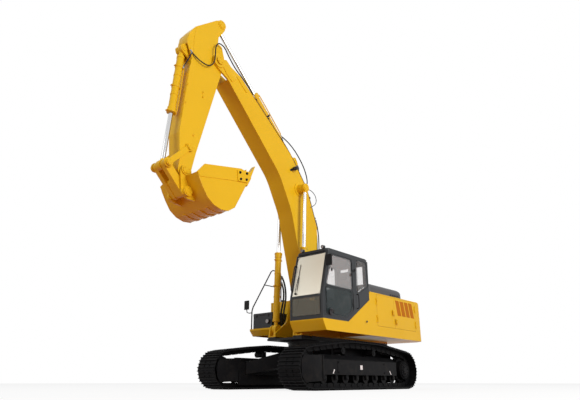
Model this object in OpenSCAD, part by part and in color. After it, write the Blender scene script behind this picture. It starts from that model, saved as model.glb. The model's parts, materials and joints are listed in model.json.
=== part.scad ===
// Crawler excavator of the 33 tonne class with a mono boom, an arm and a digging bucket.
// Millimetres. +X is forward (the boom's side), +Y is left (the cab's side), +Z is up.
// The origin lies on the ground under the slewing axis. All cylinders stand at full stroke.

/* [Tracks] */
// Distance between the centre lines of the two tracks
track_gauge = 2590; // [2200:10:2990]
// Width of a track shoe
shoe_w = 600; // [500:10:800]
// Idler axle to sprocket axle
wheel_base = 4040; // [3500:10:4600]
// Shoes on one track
shoe_count = 46; // [40:1:54]
// Height of a shoe's rib
rib_h = 30; // [15:1:60]
// Thickness of a shoe's plate
shoe_t = 20; // [12:1:30]
// Height of a chain link
link_h = 105; // [80:1:130]
// Width of the link chain
link_w = 200; // [150:5:260]
// Tread radius of the idler
idler_r = 300; // [250:5:360]
// Working radius of the sprocket
sprocket_r = 310; // [250:5:360]
// Teeth of the sprocket
sprocket_teeth = 21; // [15:1:27]
// Tread radius of a track roller
roller_r = 95; // [70:5:120]
// Track rollers on one side
roller_count = 8; // [6:1:10]
// Radius of a carrier roller
carrier_r = 75; // [50:5:100]
// Fore and aft place of the two carrier rollers
carrier_x = 650; // [400:10:1000]
// Height of the rail over the carrier rollers
carrier_top = 920; // [800:5:960]

/* [Undercarriage] */
// Width of a track frame
frame_w = 380; // [300:10:460]
// Underside of a track frame
frame_z0 = 320; // [280:5:400]
// Top of a track frame
frame_z1 = 640; // [560:5:720]
// Plate thickness of a track frame
frame_t = 16; // [10:1:30]
// Underside of the centre frame
belly_z = 520; // [420:5:600]
// Top of the centre frame
ring_z = 1000; // [900:5:1060]
// Outer radius of the slewing ring
ring_r = 640; // [500:10:760]
// Height of the slewing ring
ring_h = 100; // [80:5:140]

/* [Upper structure] */
// Half width of the upper structure
body_hw = 1530; // [1300:10:1600]
// Underside of the skirts
skirt_z = 1250; // [1150:10:1350]
// Top of the deck
deck_z = 1500; // [1400:10:1600]
// Top of the side panels
body_top = 2330; // [2100:10:2500]
// Swing radius of the tail
tail_r = 3500; // [3000:10:3700]
// Front face of the counterweight
weight_x = -2740; // [-2900:10:-2500]
// Top of the engine hood
hood_top = 2690; // [2500:10:2800]
// Thickness of a side panel
panel_t = 30; // [15:1:50]
// Front edge of the right deck
right_front = 800; // [500:10:1100]

/* [Cab] */
// Front face of the cab
cab_front = 1550; // [1300:10:1700]
// Rear face of the cab
cab_rear = -380; // [-500:10:-200]
// Width of the cab
cab_w = 970; // [850:10:1100]
// Height of the cab over the deck
cab_h = 1650; // [1500:10:1800]
// Thickness of the cab's posts and walls
cab_t = 60; // [40:1:80]
// Height of the bend in the cab's front over the deck
cab_bend = 530; // [300:10:800]
// How far the windscreen leans back at the top
cab_lean = 260; // [0:10:400]
// Thickness of a pane
glass_t = 6; // [4:1:10]

/* [Boom] */
// Fore and aft place of the boom's foot pin
foot_x = 350; // [100:10:600]
// Height of the boom's foot pin
foot_z = 2150; // [1900:10:2400]
// Foot pin to tip pin of the boom
boom_len = 6450; // [5500:10:7000]
// Rise of the line from foot pin to tip pin, in degrees
boom_angle = 57.4; // [0:0.1:60]
// Width of the boom's box
boom_w = 480; // [400:10:600]
// Width of the boom's foot
boom_foot_w = 560; // [450:10:700]
// Plate thickness of the boom
boom_t = 16; // [10:1:30]
// Middle of a boom cylinder, out from the centre plane
boom_cyl_y = 440; // [400:5:520]

/* [Arm] */
// Boom pin to bucket pin of the arm
arm_len = 3250; // [2500:10:4000]
// Direction of the line from boom pin to bucket pin, in degrees
arm_angle = -76.8; // [-90:0.1:0]
// Width of the arm's box
arm_w = 380; // [300:10:460]
// Plate thickness of the arm
arm_t = 16; // [10:1:30]

/* [Bucket] */
// Width of the bucket
bucket_w = 1300; // [900:10:1700]
// Teeth on the lip
tooth_count = 5; // [3:1:7]
// Direction from the bucket's pin to the tooth tips, in degrees
bucket_angle = 164.5; // [90:0.1:180]
// Thickness of the bucket's shell
bucket_t = 28; // [15:1:40]
// Thickness of an ear of the bucket
ear_t = 50; // [30:1:70]

/* [Cylinders and pins] */
// Outer radius of a barrel
barrel_r = 82; // [60:1:110]
// Radius of a rod
rod_r = 50; // [35:1:70]
// Radius of an eye
eye_r = 115; // [80:1:150]
// Radius of a large pin
pin_r = 55; // [35:1:70]
// Radial play of a pin in its bore
pin_gap = 0.2; // [0.05:0.01:0.3]
// Side play between moving pieces
side_gap = 5; // [3:0.5:10]

/* [Hidden] */
$fn = 48;
yellow = [0.93, 0.68, 0.10];
dark = [0.16, 0.17, 0.18];
black = [0.05, 0.05, 0.06];
steel = [0.65, 0.66, 0.68];
glassy = [0.35, 0.42, 0.45];
cab_grey = [0.22, 0.24, 0.27];
// Running clearance between solids that turn or slide on each other
slip = 0.3;

// A point at angle a on the unit circle
function dir(a) = [cos(a), sin(a)];
// A point turned by a about the origin
function turned(p, a) = [p[0] * cos(a) - p[1] * sin(a), p[0] * sin(a) + p[1] * cos(a)];
function unit(v) = v / norm(v);
function flat(p) = [p[0], p[1]];
function bearing(v) = atan2(v[1], v[0]);
function wrap(a) = a > 180 ? a - 360 : (a < -180 ? a + 360 : a);
// The arc that rounds corner p between its neighbours a and b
function corner(p, a, b, r, n) =
    let (u = unit(a - p), v = unit(b - p), half = acos(u * v) / 2)
    let (c = p + unit(u + v) * r / sin(half), t = r / tan(half))
    let (a0 = bearing(p + u * t - c), sweep = wrap(bearing(p + v * t - c) - a0))
    [for (i = [0:n]) c + r * dir(a0 + sweep * i / n)];
// An outline from corners [x, y, radius]
function rounded(q, n = 5) =
    let (m = len(q))
    [for (i = [0:m - 1]) each (q[i][2] > 0
        ? corner(flat(q[i]), flat(q[(i + m - 1) % m]), flat(q[(i + 1) % m]), q[i][2], n)
        : [flat(q[i])])];
// An anticlockwise outline moved inward by d
function inset(q, d) =
    let (m = len(q))
    [for (i = [0:m - 1])
        let (u = unit(q[i] - q[(i + m - 1) % m]), v = unit(q[(i + 1) % m] - q[i]))
        let (p = [-u[1], u[0]], s = [-v[1], v[0]])
        q[i] + d * (p + s) / (1 + p * s)];

// A block between two corners
module block(x0, x1, y0, y1, z0, z1)
    translate([x0, y0, z0]) cube([x1 - x0, y1 - y0, z1 - z0]);
// An outline in the XZ plane, thick from y0 to y1
module side_plate(q, y0, y1)
    translate([0, y1, 0]) rotate([90, 0, 0]) linear_extrude(height = y1 - y0) polygon(q);
// A round bar across the machine
module bar(p, r, y0, y1)
    translate([p[0], y1, p[1]]) rotate([90, 0, 0]) cylinder(r = r, h = y1 - y0);
// A plate and its twin on the other side
module both_sides() {
    children();
    mirror([0, 1, 0]) children();
}
// A round bar from point a to point b of the XZ plane at y
module rod(a, b, r, y = 0)
    translate([a[0], y, a[1]]) rotate([0, 90 - bearing(b - a), 0]) cylinder(r = r, h = norm(b - a));
// A bent tube through 3-D points, closed at both ends
module bent_tube(p, r, sides = 10) {
    n = len(p);
    tangent = [for (i = [0:n - 1]) unit(p[min(i + 1, n - 1)] - p[max(i - 1, 0)])];
    up = [for (t = tangent) abs(t[1]) < 0.9 ? [0, 1, 0] : [1, 0, 0]];
    side = [for (i = [0:n - 1]) unit(cross(tangent[i], up[i]))];
    points = [for (i = [0:n - 1], k = [0:sides - 1])
        p[i] + r * (cos(360 * k / sides) * side[i]
            + sin(360 * k / sides) * cross(tangent[i], side[i]))];
    walls = [for (i = [0:n - 2], k = [0:sides - 1]) each [
        [i * sides + k, (i + 1) * sides + (k + 1) % sides, i * sides + (k + 1) % sides],
        [i * sides + k, (i + 1) * sides + k, (i + 1) * sides + (k + 1) % sides]]];
    ends = [[for (k = [0:sides - 1]) k], [for (k = [sides - 1:-1:0]) (n - 1) * sides + k]];
    polyhedron(points = points, faces = concat(walls, ends));
}

// Track geometry: the rail's closed path is the tight belt around these circles
track_y = track_gauge / 2;
rail_z = rib_h + shoe_t + link_h;
idler = [wheel_base / 2, rail_z + idler_r];
sprocket = [-wheel_base / 2, rail_z + sprocket_r];
roller_span = 0.71 * wheel_base;
roller_z = rail_z + roller_r;
carrier_z = carrier_top - carrier_r;
belt = [[idler[0], idler[1], idler_r], [carrier_x, carrier_z, carrier_r],
    [-carrier_x, carrier_z, carrier_r], [sprocket[0], sprocket[1], sprocket_r]];
// Which circle carries the belt where its outward direction is a
function reach(c, a) = [c[0], c[1]] * dir(a) + c[2];
function top_of(a) = max([for (c = belt) reach(c, a)]);
function carrier_of(a) = [for (c = belt) if (reach(c, a) > top_of(a) - 0.001) c][0];
function belt_point(a, d) = let (c = carrier_of(a)) [c[0], c[1]] + (c[2] + d) * dir(a);
belt_step = 6;
// Play between the rail and the wheels it runs on
rail_play = 1;
belt_dirs = [for (a = [0:belt_step:359]) a + belt_step / 2];
belt_line = [for (a = belt_dirs) belt_point(a, link_h)];
belt_len = [for (i = [0:len(belt_line)])
    i == 0 ? 0 : norm(belt_line[i % len(belt_line)] - belt_line[i - 1])];
function run(i) = i <= 0 ? 0 : belt_len[i] + run(i - 1);
belt_run = [for (i = [0:len(belt_line)]) run(i)];
belt_total = belt_run[len(belt_line)];
function segment(s) = max([for (i = [0:len(belt_line) - 1]) if (belt_run[i] <= s) i]);
// The point s along the belt, h out from the links
function on_belt(s, h) =
    let (w = (s + 2 * belt_total) % belt_total, i = segment(w), j = (i + 1) % len(belt_line))
    let (f = (w - belt_run[i]) / (belt_run[i + 1] - belt_run[i]), u = unit(belt_line[j] - belt_line[i]))
    belt_line[i] + f * (belt_line[j] - belt_line[i]) + h * [u[1], -u[0]];
shoe_pitch = belt_total / shoe_count;
// One shoe's outer edge: a gap, then three ribs
shoe_edge = [[0, 0.35 * shoe_t], [0.10, shoe_t], [0.14, shoe_t + rib_h], [0.18, shoe_t],
    [0.46, shoe_t], [0.50, shoe_t + rib_h], [0.54, shoe_t], [0.82, shoe_t],
    [0.86, shoe_t + rib_h], [0.90, shoe_t]];
shoe_outline = [for (k = [0:shoe_count - 1], e = shoe_edge) on_belt((k + e[0]) * shoe_pitch, e[1])];

// Boom geometry: s runs from foot pin to tip pin, n is square to it
foot = [foot_x, foot_z];
tip = foot + boom_len * dir(boom_angle);
function boom_at(p) = foot + turned(p, boom_angle);
// Where the boom's box ends and the fork goes on alone
box_end = boom_len - 470;
boom_outline = rounded([[-40, 185, 60], [-40, -185, 60], [0.357 * boom_len, 560, 1500],
    [0.512 * boom_len, 640, 1500], [box_end, 62, 0], [box_end, 571, 0], [0.574 * boom_len, 1400, 1500],
    [0.403 * boom_len, 1540, 900], [0.2326 * boom_len, 1330, 900]], 6);
boom_pin = [0.42 * boom_len, 1190];
arm_base = [0.535 * boom_len, 1640];
arm_pin = [boom_len + 940, 670];

// Arm geometry: s runs from boom pin to bucket pin, n is square to it on the front side
nose = tip + arm_len * dir(arm_angle);
function arm_at(p) = tip + turned(p, arm_angle);
function boom_to_arm(p) = turned(boom_at(p) - tip, -arm_angle);
tail_pin = boom_to_arm(arm_pin);
arm_outline = rounded([[-500, 20, 60], [-150, -190, 150], [arm_len - 550, -150, 400], [arm_len, -165, 0],
    [arm_len, 165, 0], [arm_len - 190, 190, 60], [arm_len - 800, 400, 300], [0.25 * arm_len, 655, 500],
    [200, 720, 300], [-500, 620, 100]], 5);
bucket_base = [300, 900];
rocker_pin = [arm_len - 580, 60];
link_len = 720;
rocker_len = 750;
ear_len = 480;
ear_bearing = -21.1;
ear_pin = [arm_len, 0] + ear_len * dir(ear_bearing);
// Where circles about a and b meet, on the left of the way from a to b
function meet(a, ra, b, rb) =
    let (d = norm(b - a), x = (d * d + ra * ra - rb * rb) / (2 * d), h = sqrt(ra * ra - x * x))
    a + x * (b - a) / d + h * turned((b - a) / d, 90);
rod_pin = meet(rocker_pin, rocker_len, ear_pin, link_len);

// Children modelled along the boom, the arm or the bucket
module in_boom() translate([foot[0], 0, foot[1]]) rotate([0, -boom_angle, 0]) children();
module in_arm() translate([tip[0], 0, tip[1]]) rotate([0, -arm_angle, 0]) children();
module in_bucket() translate([nose[0], 0, nose[1]]) rotate([0, -bucket_angle, 0]) children();

// Boom cylinders, in the XZ plane of the upper structure
boom_cyl_base = [950, 1420];
boom_cyl_top = boom_at(boom_pin);
boom_gland = boom_cyl_base + 0.544 * (boom_cyl_top - boom_cyl_base);
boom_eye_w = 112;

// Cab geometry
cab_left = body_hw;
cab_right = body_hw - cab_w;
cab_top = deck_z + cab_h;
roof_t = 70;
wall_top = cab_top - roof_t;
cab_brow = cab_front - cab_lean;
cab_side = [[cab_front, deck_z], [cab_front, deck_z + cab_bend], [cab_brow, wall_top],
    [cab_rear, wall_top], [cab_rear, deck_z + 610], [580, deck_z]];
door_hole = [[cab_front - cab_t, deck_z + 45], [cab_front - cab_t, deck_z + cab_bend],
    [cab_brow - cab_t + 12, wall_top - 50], [345, wall_top - 50], [345, deck_z + 235],
    [650, deck_z + 45]];
door_shape = inset(door_hole, side_gap);
door_window_top = rounded([[cab_front - 150, deck_z + 780, 30], [cab_brow - 130, wall_top - 110, 60],
    [420, wall_top - 110, 60], [420, deck_z + 780, 30]]);
door_window_low = rounded([[cab_front - 130, deck_z + 130, 30], [cab_front - 130, deck_z + 700, 30],
    [420, deck_z + 700, 30], [420, deck_z + 300, 60], [690, deck_z + 130, 60]]);
quarter_window = rounded([[160, deck_z + 720, 40], [140, wall_top - 60, 40],
    [-220, wall_top - 70, 40], [-250, deck_z + 940, 40]]);
right_window = rounded([[1400, deck_z + 560, 40], [1180, wall_top - 80, 60],
    [-260, wall_top - 80, 60], [-260, deck_z + 560, 40]]);

module track_band(side) {
    color(dark) translate([0, side * track_y, 0]) {
        difference() {
            side_plate(shoe_outline, -shoe_w / 2, shoe_w / 2);
            side_plate(belt_line, -shoe_w / 2 - 1, -link_w / 2);
            side_plate(belt_line, link_w / 2, shoe_w / 2 + 1);
            side_plate([for (a = belt_dirs) belt_point(a, rail_play)], -link_w, link_w);
        }
    }
}
module track_left() track_band(1);
module track_right() track_band(-1);

// Underside of the beam between its side plates, over the rollers' flanges
beam_z = roller_z + roller_r + 30;
module track_frame() {
    inner = -frame_w / 2;
    outer = frame_w / 2;
    guard = rounded([[1500, frame_z0 - 60, 40], [2180, 230, 120], [2290, 480, 120], [2200, 690, 80],
        [1500, frame_z1 + 60, 40]]);
    bracket = rounded([[-1560, frame_z0, 0], [-1560, frame_z1, 0], [-1800, 760, 80],
        [-2200, 740, 120], [-2290, 470, 120], [-2200, 220, 120], [-1800, 200, 80]]);
    difference() {
        union() {
            block(-1560, 1500, inner, outer, frame_z0, frame_z1);
            ridge(-1560, 1500, outer, 0);
        }
        block(-1560 + frame_t, 1501, inner + frame_t, outer - frame_t,
            beam_z + frame_t, frame_z1 - frame_t);
        ridge(-1560 + frame_t, 1501, outer - frame_t, frame_t);
        block(-1561, 1501, inner + frame_t, outer - frame_t, frame_z0 - 1, beam_z);
    }
    both_sides() difference() {
        side_plate(guard, 125, outer);
        bar(idler, 60, 124, outer + 1);
    }
    difference() {
        side_plate(bracket, inner, inner + 40);
        bar(sprocket, 205, inner - 1, inner + 41);
    }
    for (x = [-carrier_x, carrier_x]) block(x - 60, x + 60, inner, inner + 60, frame_z1 - 10, carrier_z + 60);
    block(-1000, 1000, outer - 2, outer + 6, frame_z0 + 30, frame_z1 - 30);
}
// The sloping top that sheds mud, from x0 to x1, w wide to each side and d lower
module ridge(x0, x1, w, d)
    translate([x0, 0, 0]) rotate([90, 0, 90]) linear_extrude(height = x1 - x0)
        polygon([[-w, frame_z1 - d - 1], [w, frame_z1 - d - 1],
            [50, frame_z1 + 105 - d], [-50, frame_z1 + 105 - d]]);
module track_frame_left() color(dark) translate([0, track_y, 0]) track_frame();
module track_frame_right() color(dark) translate([0, -track_y, 0]) mirror([0, 1, 0]) track_frame();

// The same piece on both tracks
module on_tracks() {
    translate([0, track_y, 0]) children();
    translate([0, -track_y, 0]) mirror([0, 1, 0]) children();
}

module final_drives() {
    tooth = 360 / sprocket_teeth;
    ring = [for (k = [0:sprocket_teeth - 1], e = [[0.05, 268], [0.30, sprocket_r - slip],
        [0.60, sprocket_r - slip], [0.85, 268]]) sprocket + e[1] * dir((k + e[0]) * tooth)];
    color(dark) on_tracks() {
        side_plate(ring, -45, 45);
        bar(sprocket, 205 - slip, -420, -frame_w / 2 + 40);
        bar(sprocket, 235, -frame_w / 2 + 40, 165);
        bar(sprocket, 195, 160, 195);
        bar(sprocket, 120, 190, 215);
    }
}

module idlers() {
    color(dark) on_tracks() {
        bar(idler, idler_r - slip, -80, 80);
        bar(idler, 60, -frame_w / 2, frame_w / 2);
        bar(idler, 110, -120, 120);
    }
}

module track_rollers() {
    color(dark) on_tracks() for (k = [0:roller_count - 1]) {
        p = [-roller_span / 2 + roller_span * k / (roller_count - 1), roller_z];
        bar(p, roller_r - slip, -120, 120);
        both_sides() {
            bar(p, roller_r + 20, link_w / 2 + 6, 120);
            bar(p, 35, 120, 170);
            block(p[0] - 50, p[0] + 50, 140, 170, roller_z - 40, beam_z);
        }
    }
    color(dark) on_tracks() for (x = [-carrier_x, carrier_x]) {
        bar([x, carrier_z], carrier_r - slip, -110, 110);
        bar([x, carrier_z], 35, -frame_w / 2 + 60, 120);
    }
}

module car_body() {
    face = track_y - frame_w / 2;
    color(dark) {
        difference() {
            translate([0, 0, belly_z]) cylinder(r = 700, h = ring_z - belly_z);
            translate([0, 0, belly_z + 40]) cylinder(r = 660, h = ring_z - belly_z - 90);
            translate([0, 0, belly_z - 1]) cylinder(r = 200, h = ring_z);
        }
        for (sx = [-1, 1], sy = [-1, 1]) scale([sx, sy, 1]) hull() {
            block(430, 560, 400, 420, belly_z + 20, ring_z - 90);
            block(980, 1330, face - 20, face, frame_z0 + 30, frame_z1);
        }
        for (sx = [-1, 1]) difference() {
            block(sx > 0 ? 640 : -860, sx > 0 ? 860 : -640, -60, 60, belly_z, belly_z + 240);
            bar([sx * 770, belly_z + 120], 45, -61, 61);
        }
    }
}

module slew_ring() {
    color(steel) difference() {
        translate([0, 0, ring_z]) cylinder(r = ring_r, h = ring_h);
        translate([0, 0, ring_z - 1]) cylinder(r = ring_r - 120, h = ring_h + 2);
    }
}

bracket_in = boom_foot_w / 2 + side_gap;
bracket_out = bracket_in + 50;
ear_in = boom_cyl_y - boom_eye_w / 2 - side_gap - 40;
ear_out = boom_cyl_y + boom_eye_w / 2 + side_gap;

// An open tray with its floor on top and a front that slopes in towards the bottom
module tray(x0, x1, y0, y1, z0, z1, t) {
    side_shape = [[x0, z0], [x1 - 120, z0], [x1, z1 - 40], [x1, z1], [x0, z1]];
    hollow = [[x0 + t, z0 - 1], [x1 - 122 - t, z0 - 1], [x1 - t - 3, z1 - 40],
        [x1 - t, z1 - t], [x0 + t, z1 - t]];
    difference() {
        side_plate(side_shape, y0, y1);
        side_plate(hollow, y0 + t, y1 - t);
    }
}

module main_frame() {
    floor_z = ring_z + ring_h + slip;
    lap = 15;
    rear = cab_rear - 40;
    cheek = rounded([[-1500, 1165, 0], [1130, 1165, 0], [1130, 1300, 40], [700, 1600, 200],
        [540, 2200, 150], [300, 2350, 120], [150, 2280, 100], [-300, 1850, 300], [-1500, 1500, 0]]);
    ear = rounded([[780, 1225, 0], [1110, 1225, 0], [1070, 1470, 80], [950, 1540, 80], [830, 1470, 80]]);
    color(yellow) {
        translate([0, 0, floor_z]) cylinder(r = ring_r + 20, h = 1140 - floor_z);
        translate([0, 0, floor_z - 60]) cylinder(r = ring_r - 120 - slip, h = 80);
        block(weight_x, 1130, -cab_right, cab_right, 1130, 1180);
        both_sides() {
            side_plate(cheek, bracket_in, bracket_out);
            block(700, 1120, bracket_out - lap, ear_out + 40, 1170, 1240);
            side_plate(ear, ear_in, ear_in + 40);
            side_plate(ear, ear_out, ear_out + 40);
            bar(boom_cyl_base, pin_r, ear_in - 5, ear_out + 60);
            block(weight_x, right_front - 30, cab_right - 30, cab_right + lap, 1170, deck_z - 40);
            block(weight_x, rear + lap, body_hw - 20, body_hw, skirt_z, deck_z);
            block(weight_x, rear + lap, cab_right, body_hw - lap, skirt_z, skirt_z + 30);
        }
        bar(foot, pin_r + 15, -bracket_out - 30, bracket_out + 30);
        tray(rear, cab_front, cab_right, body_hw, skirt_z, deck_z, 20);
        tray(rear, right_front, -body_hw, -cab_right, skirt_z + 70, deck_z, 20);
        block(weight_x, -1480, -bracket_out, bracket_out, 1170, 1230);
    }
}

module counterweight() {
    edge = asin(body_hw / tail_r);
    tail = [for (a = [180 - 0.8 * edge:edge / 5:180 + 0.8 * edge + 1]) each [concat(tail_r * dir(a), [0])]];
    side_x = weight_x - 330;
    plan = rounded(concat([[weight_x, body_hw, 0], [side_x, body_hw, 240]], tail,
        [[side_x, -body_hw, 240], [weight_x, -body_hw, 0]]), 6);
    back = -tail_r;
    profile = rounded([[weight_x, skirt_z, 0], [weight_x, body_top, 0], [back + 10, body_top, 260],
        [back, 1500, 200], [back + 170, skirt_z, 120]]);
    color(yellow) frame_side(weight_x + 4, hinge_y, hinge_zs, 1, body_hw);
    color(yellow) frame_side(weight_x + 4, -hinge_y, hinge_zs, 1, -body_hw);
    color(yellow) difference() {
        intersection() {
            translate([0, 0, skirt_z]) linear_extrude(height = body_top - skirt_z) polygon(plan);
            side_plate(profile, -body_hw, body_hw);
        }
        block(back + 290, weight_x + 1, -body_hw + 200, body_hw - 200, skirt_z + 120, body_top - 150);
        for (y = [-lift_y, lift_y]) translate([-3000, y, body_top - 110]) cylinder(r = 18, h = 111);
    }
}
// Lifting holes, out from the centre plane
lift_y = 700;

// Hinge of a door: knuckles on the door at (x, y), pin and outer knuckles on what carries it.
// way is +1 where the door lies on the +X side, face is the outer face of the panels.
knuckle_r = 14;
knuckle_h = 60;
module knuckle(x, y, z, way, face) {
    translate([x, y, z]) cylinder(r = knuckle_r, h = knuckle_h);
    block(min(x, x + way * 45), max(x, x + way * 45), min(face, y), max(face, y), z, z + knuckle_h);
}
module door_side(x, y, zs, way, face) {
    for (z = zs) difference() {
        knuckle(x, y, z, way, face);
        translate([x, y, z - 1]) cylinder(r = 8 + pin_gap, h = knuckle_h + 2);
    }
}
module frame_side(x, y, zs, way, face) {
    for (z = zs) {
        translate([x, y, z - knuckle_h]) cylinder(r = 8, h = 3 * knuckle_h);
        knuckle(x, y, z - knuckle_h - 1, -way, face);
        knuckle(x, y, z + knuckle_h + 1, -way, face);
    }
}
hinge_zs = [deck_z + 150, deck_z + 580];
hinge_y = body_hw + knuckle_r + 1;
cab_hinge_zs = [deck_z + 420, deck_z + 1300];

module house_frame() {
    inside = body_hw - panel_t - side_gap;
    color(dark) {
        block(cab_rear - 60, cab_rear - 40, cab_right, inside, deck_z, body_top - 30);
        block(-1190, -1160, -cab_right - 30, cab_right, 1660, body_top - 30);
        for (x = [-740, -1600]) block(x, x + 40, inside - 60, inside, skirt_z + 30, body_top - 30);
        block(weight_x, weight_x + 40, inside - 60, inside, skirt_z + 30, body_top - 30);
        block(weight_x, weight_x + 40, -inside, -inside + 60, skirt_z + 30, body_top - 30);
        block(-1190, -1160, -inside, -cab_right - 15, skirt_z + 30, body_top - 30);
    }
}

module engine_block() {
    color(dark) block(-2350, -1550, 110 - cab_right, cab_right - 260, 1230, body_top - 380);
}

module top_cover() {
    color(yellow) {
        difference() {
            block(weight_x, cab_rear - 40, -body_hw, body_hw, body_top - 30, body_top);
            block(-2600, -1000, -600, 1130, body_top - 31, body_top + 1);
            block(-1130, 0, -cab_right, cab_right, body_top - 31, body_top + 1);
        }
        for (y = hood_hinge_ys) {
            bar(hood_pin, 8, y - 60, y + 120);
            for (d = [-61, 61]) hood_knuckle(y + d, -1);
        }
    }
}
// Hinge of the hood at its rear edge
hood_pin = [-2676, body_top + 16];
hood_hinge_ys = [-400, 800];
module hood_knuckle(y, way) {
    bar(hood_pin, 14, y, y + 60);
    block(min(hood_pin[0], hood_pin[0] + way * 30), max(hood_pin[0], hood_pin[0] + way * 30), y, y + 60,
        way < 0 ? body_top - 10 : hood_pin[1] - 10, hood_pin[1] + 10);
}

module engine_hood() {
    color(black) difference() {
        union() {
            hood_form(0);
            for (y = hood_hinge_ys) hood_knuckle(y, 1);
        }
        hood_form(12);
        for (y = hood_hinge_ys) bar(hood_pin, 8 + pin_gap, y - 1, y + 61);
    }
}
// The hood's rounded outside, or with d its hollow
module hood_form(d) {
    z0 = body_top + slip - (d > 0 ? 1 : 0);
    x0 = -2660 + d;
    x1 = -950 - d;
    y0 = -660 + d;
    y1 = 1190 - d;
    top = hood_top - d;
    intersection() {
        side_plate(rounded([[x0, z0, 0], [x1, z0, 0], [x1 - 60, top, 150], [x0, top, 150]]), y0, y1);
        translate([x0, 0, 0]) rotate([90, 0, 90]) linear_extrude(height = x1 - x0)
            polygon(rounded([[y0, z0, 0], [y1, z0, 0], [y1 - 40, top, 150], [y0 + 40, top, 150]]));
        translate([0, 0, z0]) linear_extrude(height = top - z0)
            polygon(rounded([[x0, y0, 60], [x1, y0, 160], [x1, y1, 160], [x0, y1, 60]]));
    }
}

// The fixed panel behind the cab, with a wedge under the cab's slanted edge
module front_panel() {
    slope = unit(cab_side[4] - cab_side[5]);
    drop = 4 * [slope[1], -slope[0]];
    low = [cab_side[5][0] - 12, deck_z];
    high = cab_side[4] - drop;
    color(yellow) {
        side_plate([[-720, deck_z], low, high - [2, 0], [high[0] - 2, body_top - 30],
            [-720, body_top - 30]], body_hw - panel_t, body_hw);
        frame_side(-724, hinge_y, hinge_zs, -1, body_hw);
    }
}

module left_door() {
    color(yellow) {
        block(-1590, -728, body_hw - panel_t, body_hw, deck_z + side_gap, body_top - 30 - side_gap);
        door_side(-724, hinge_y, hinge_zs, -1, body_hw);
    }
}

module radiator_door() {
    color(yellow) {
        difference() {
            block(weight_x + 8, -1598, body_hw - panel_t, body_hw, deck_z + side_gap,
                body_top - 30 - side_gap);
            for (k = [0:3]) side_plate(slot_shape(k), body_hw - panel_t - 1, body_hw + 1);
        }
        for (k = [0:3], i = [0:slat_count - 1]) slat(k, i);
        door_side(weight_x + 4, hinge_y, hinge_zs, 1, body_hw);
    }
}
// The grille's four slanted slots and the slats across them
slot_z0 = 1850;
slot_h = 400;
slot_w = 200;
slot_lean = 100;
slat_count = 6;
function slot_x(k) = weight_x + 55 + 240 * k;
function slot_shape(k) = [[slot_x(k), slot_z0], [slot_x(k) + slot_w, slot_z0],
    [slot_x(k) + slot_w + slot_lean, slot_z0 + slot_h], [slot_x(k) + slot_lean, slot_z0 + slot_h]];
module slat(k, i) {
    z = slot_z0 + slot_h * (i + 0.25) / slat_count;
    x = slot_x(k) + slot_lean * (i + 0.5) / slat_count;
    y0 = body_hw - panel_t + 2;
    y1 = body_hw - 4;
    translate([x - 16, 0, 0]) rotate([90, 0, 90]) linear_extrude(height = slot_w + 32)
        polygon([[y0, z + 36], [y1, z], [y1, z + 8], [y0, z + 44]]);
}

module pump_door() {
    color(yellow) {
        block(weight_x + 8, -1190, -body_hw, -body_hw + panel_t, deck_z + side_gap,
            body_top - 30 - side_gap);
        door_side(weight_x + 4, -hinge_y, hinge_zs, 1, -body_hw);
    }
}

module tank(x0, x1, z1) {
    difference() {
        block(x0, x1, -body_hw, -cab_right, deck_z, z1);
        block(x0 + 10, x1 - 10, -body_hw + 10, -cab_right - 10, deck_z + 10, z1 - 10);
    }
}
// Fuel tank in front, hydraulic tank behind it
module tanks() {
    color(yellow) {
        tank(cab_rear - 38, -20, body_top - 40);
        tank(-1158, cab_rear - 62, body_top - 32);
    }
}
module toolbox() {
    x0 = -18;
    color(dark) {
        difference() {
            block(x0, 760, -1440, -760, deck_z, 1900);
            block(x0 + 10, 750, -1430, -770, deck_z + 10, 1890);
        }
        block(x0 + 30, 768, -1448, -752, 1840, 1860);
    }
}

module handrails() {
    y = -body_hw + 45;
    color(black) {
        bent_tube([[780, y, deck_z], [780, y, 1980], [740, y, 2090], [40, y, 3180], [-30, y, 3230],
            [-300, y, 3230], [-370, y, 3180], [-390, y, 3080], [-390, y, body_top - 40]], 17);
        bent_tube([[290, y, 2760], [-390, y, 2760]], 14);
        bent_tube([[780, y, 1935], [830, y - 60, 1925], [862, y - 105, 1945], [870, y - 115, 2030]], 12);
        block(852, 888, y - 195, y - 40, 2020, 2260);
        bent_tube([[1275, cab_left + slip, 2960], [1285, cab_left + 45, 2965], [1340, cab_left + 80, 2960],
            [1400, cab_left + 95, 2930]], 11);
        block(1382, 1418, cab_left + 20, cab_left + 170, 2690, 2945);
    }
}

module cab_floor() color(cab_grey) block(cab_rear + cab_t, cab_front - cab_t, cab_right + cab_t,
    cab_left - cab_t, deck_z, deck_z + 40);
module cab_left_wall() {
    color(cab_grey) difference() {
        side_plate(cab_side, cab_left - cab_t, cab_left);
        side_plate(door_hole, cab_left - cab_t - 1, cab_left + 1);
        side_plate(quarter_window, cab_left - cab_t - 1, cab_left + 1);
    }
    color(cab_grey) frame_side(347, hinge_y, cab_hinge_zs, 1, cab_left);
}
module cab_right_wall() {
    shape = [[cab_front, deck_z], [cab_front, deck_z + cab_bend], [cab_brow, wall_top],
        [cab_rear, wall_top], [cab_rear, deck_z]];
    color(cab_grey) difference() {
        side_plate(shape, cab_right, cab_right + cab_t);
        side_plate(right_window, cab_right - 1, cab_right + cab_t + 1);
    }
}
module cab_rear_wall() {
    color(cab_grey) difference() {
        block(cab_rear, cab_rear + cab_t, cab_right + cab_t, cab_left - cab_t, deck_z, wall_top);
        block(cab_rear - 1, cab_rear + cab_t + 1, cab_right + 130, cab_left - 130,
            deck_z + 900, wall_top - 100);
    }
}
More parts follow.
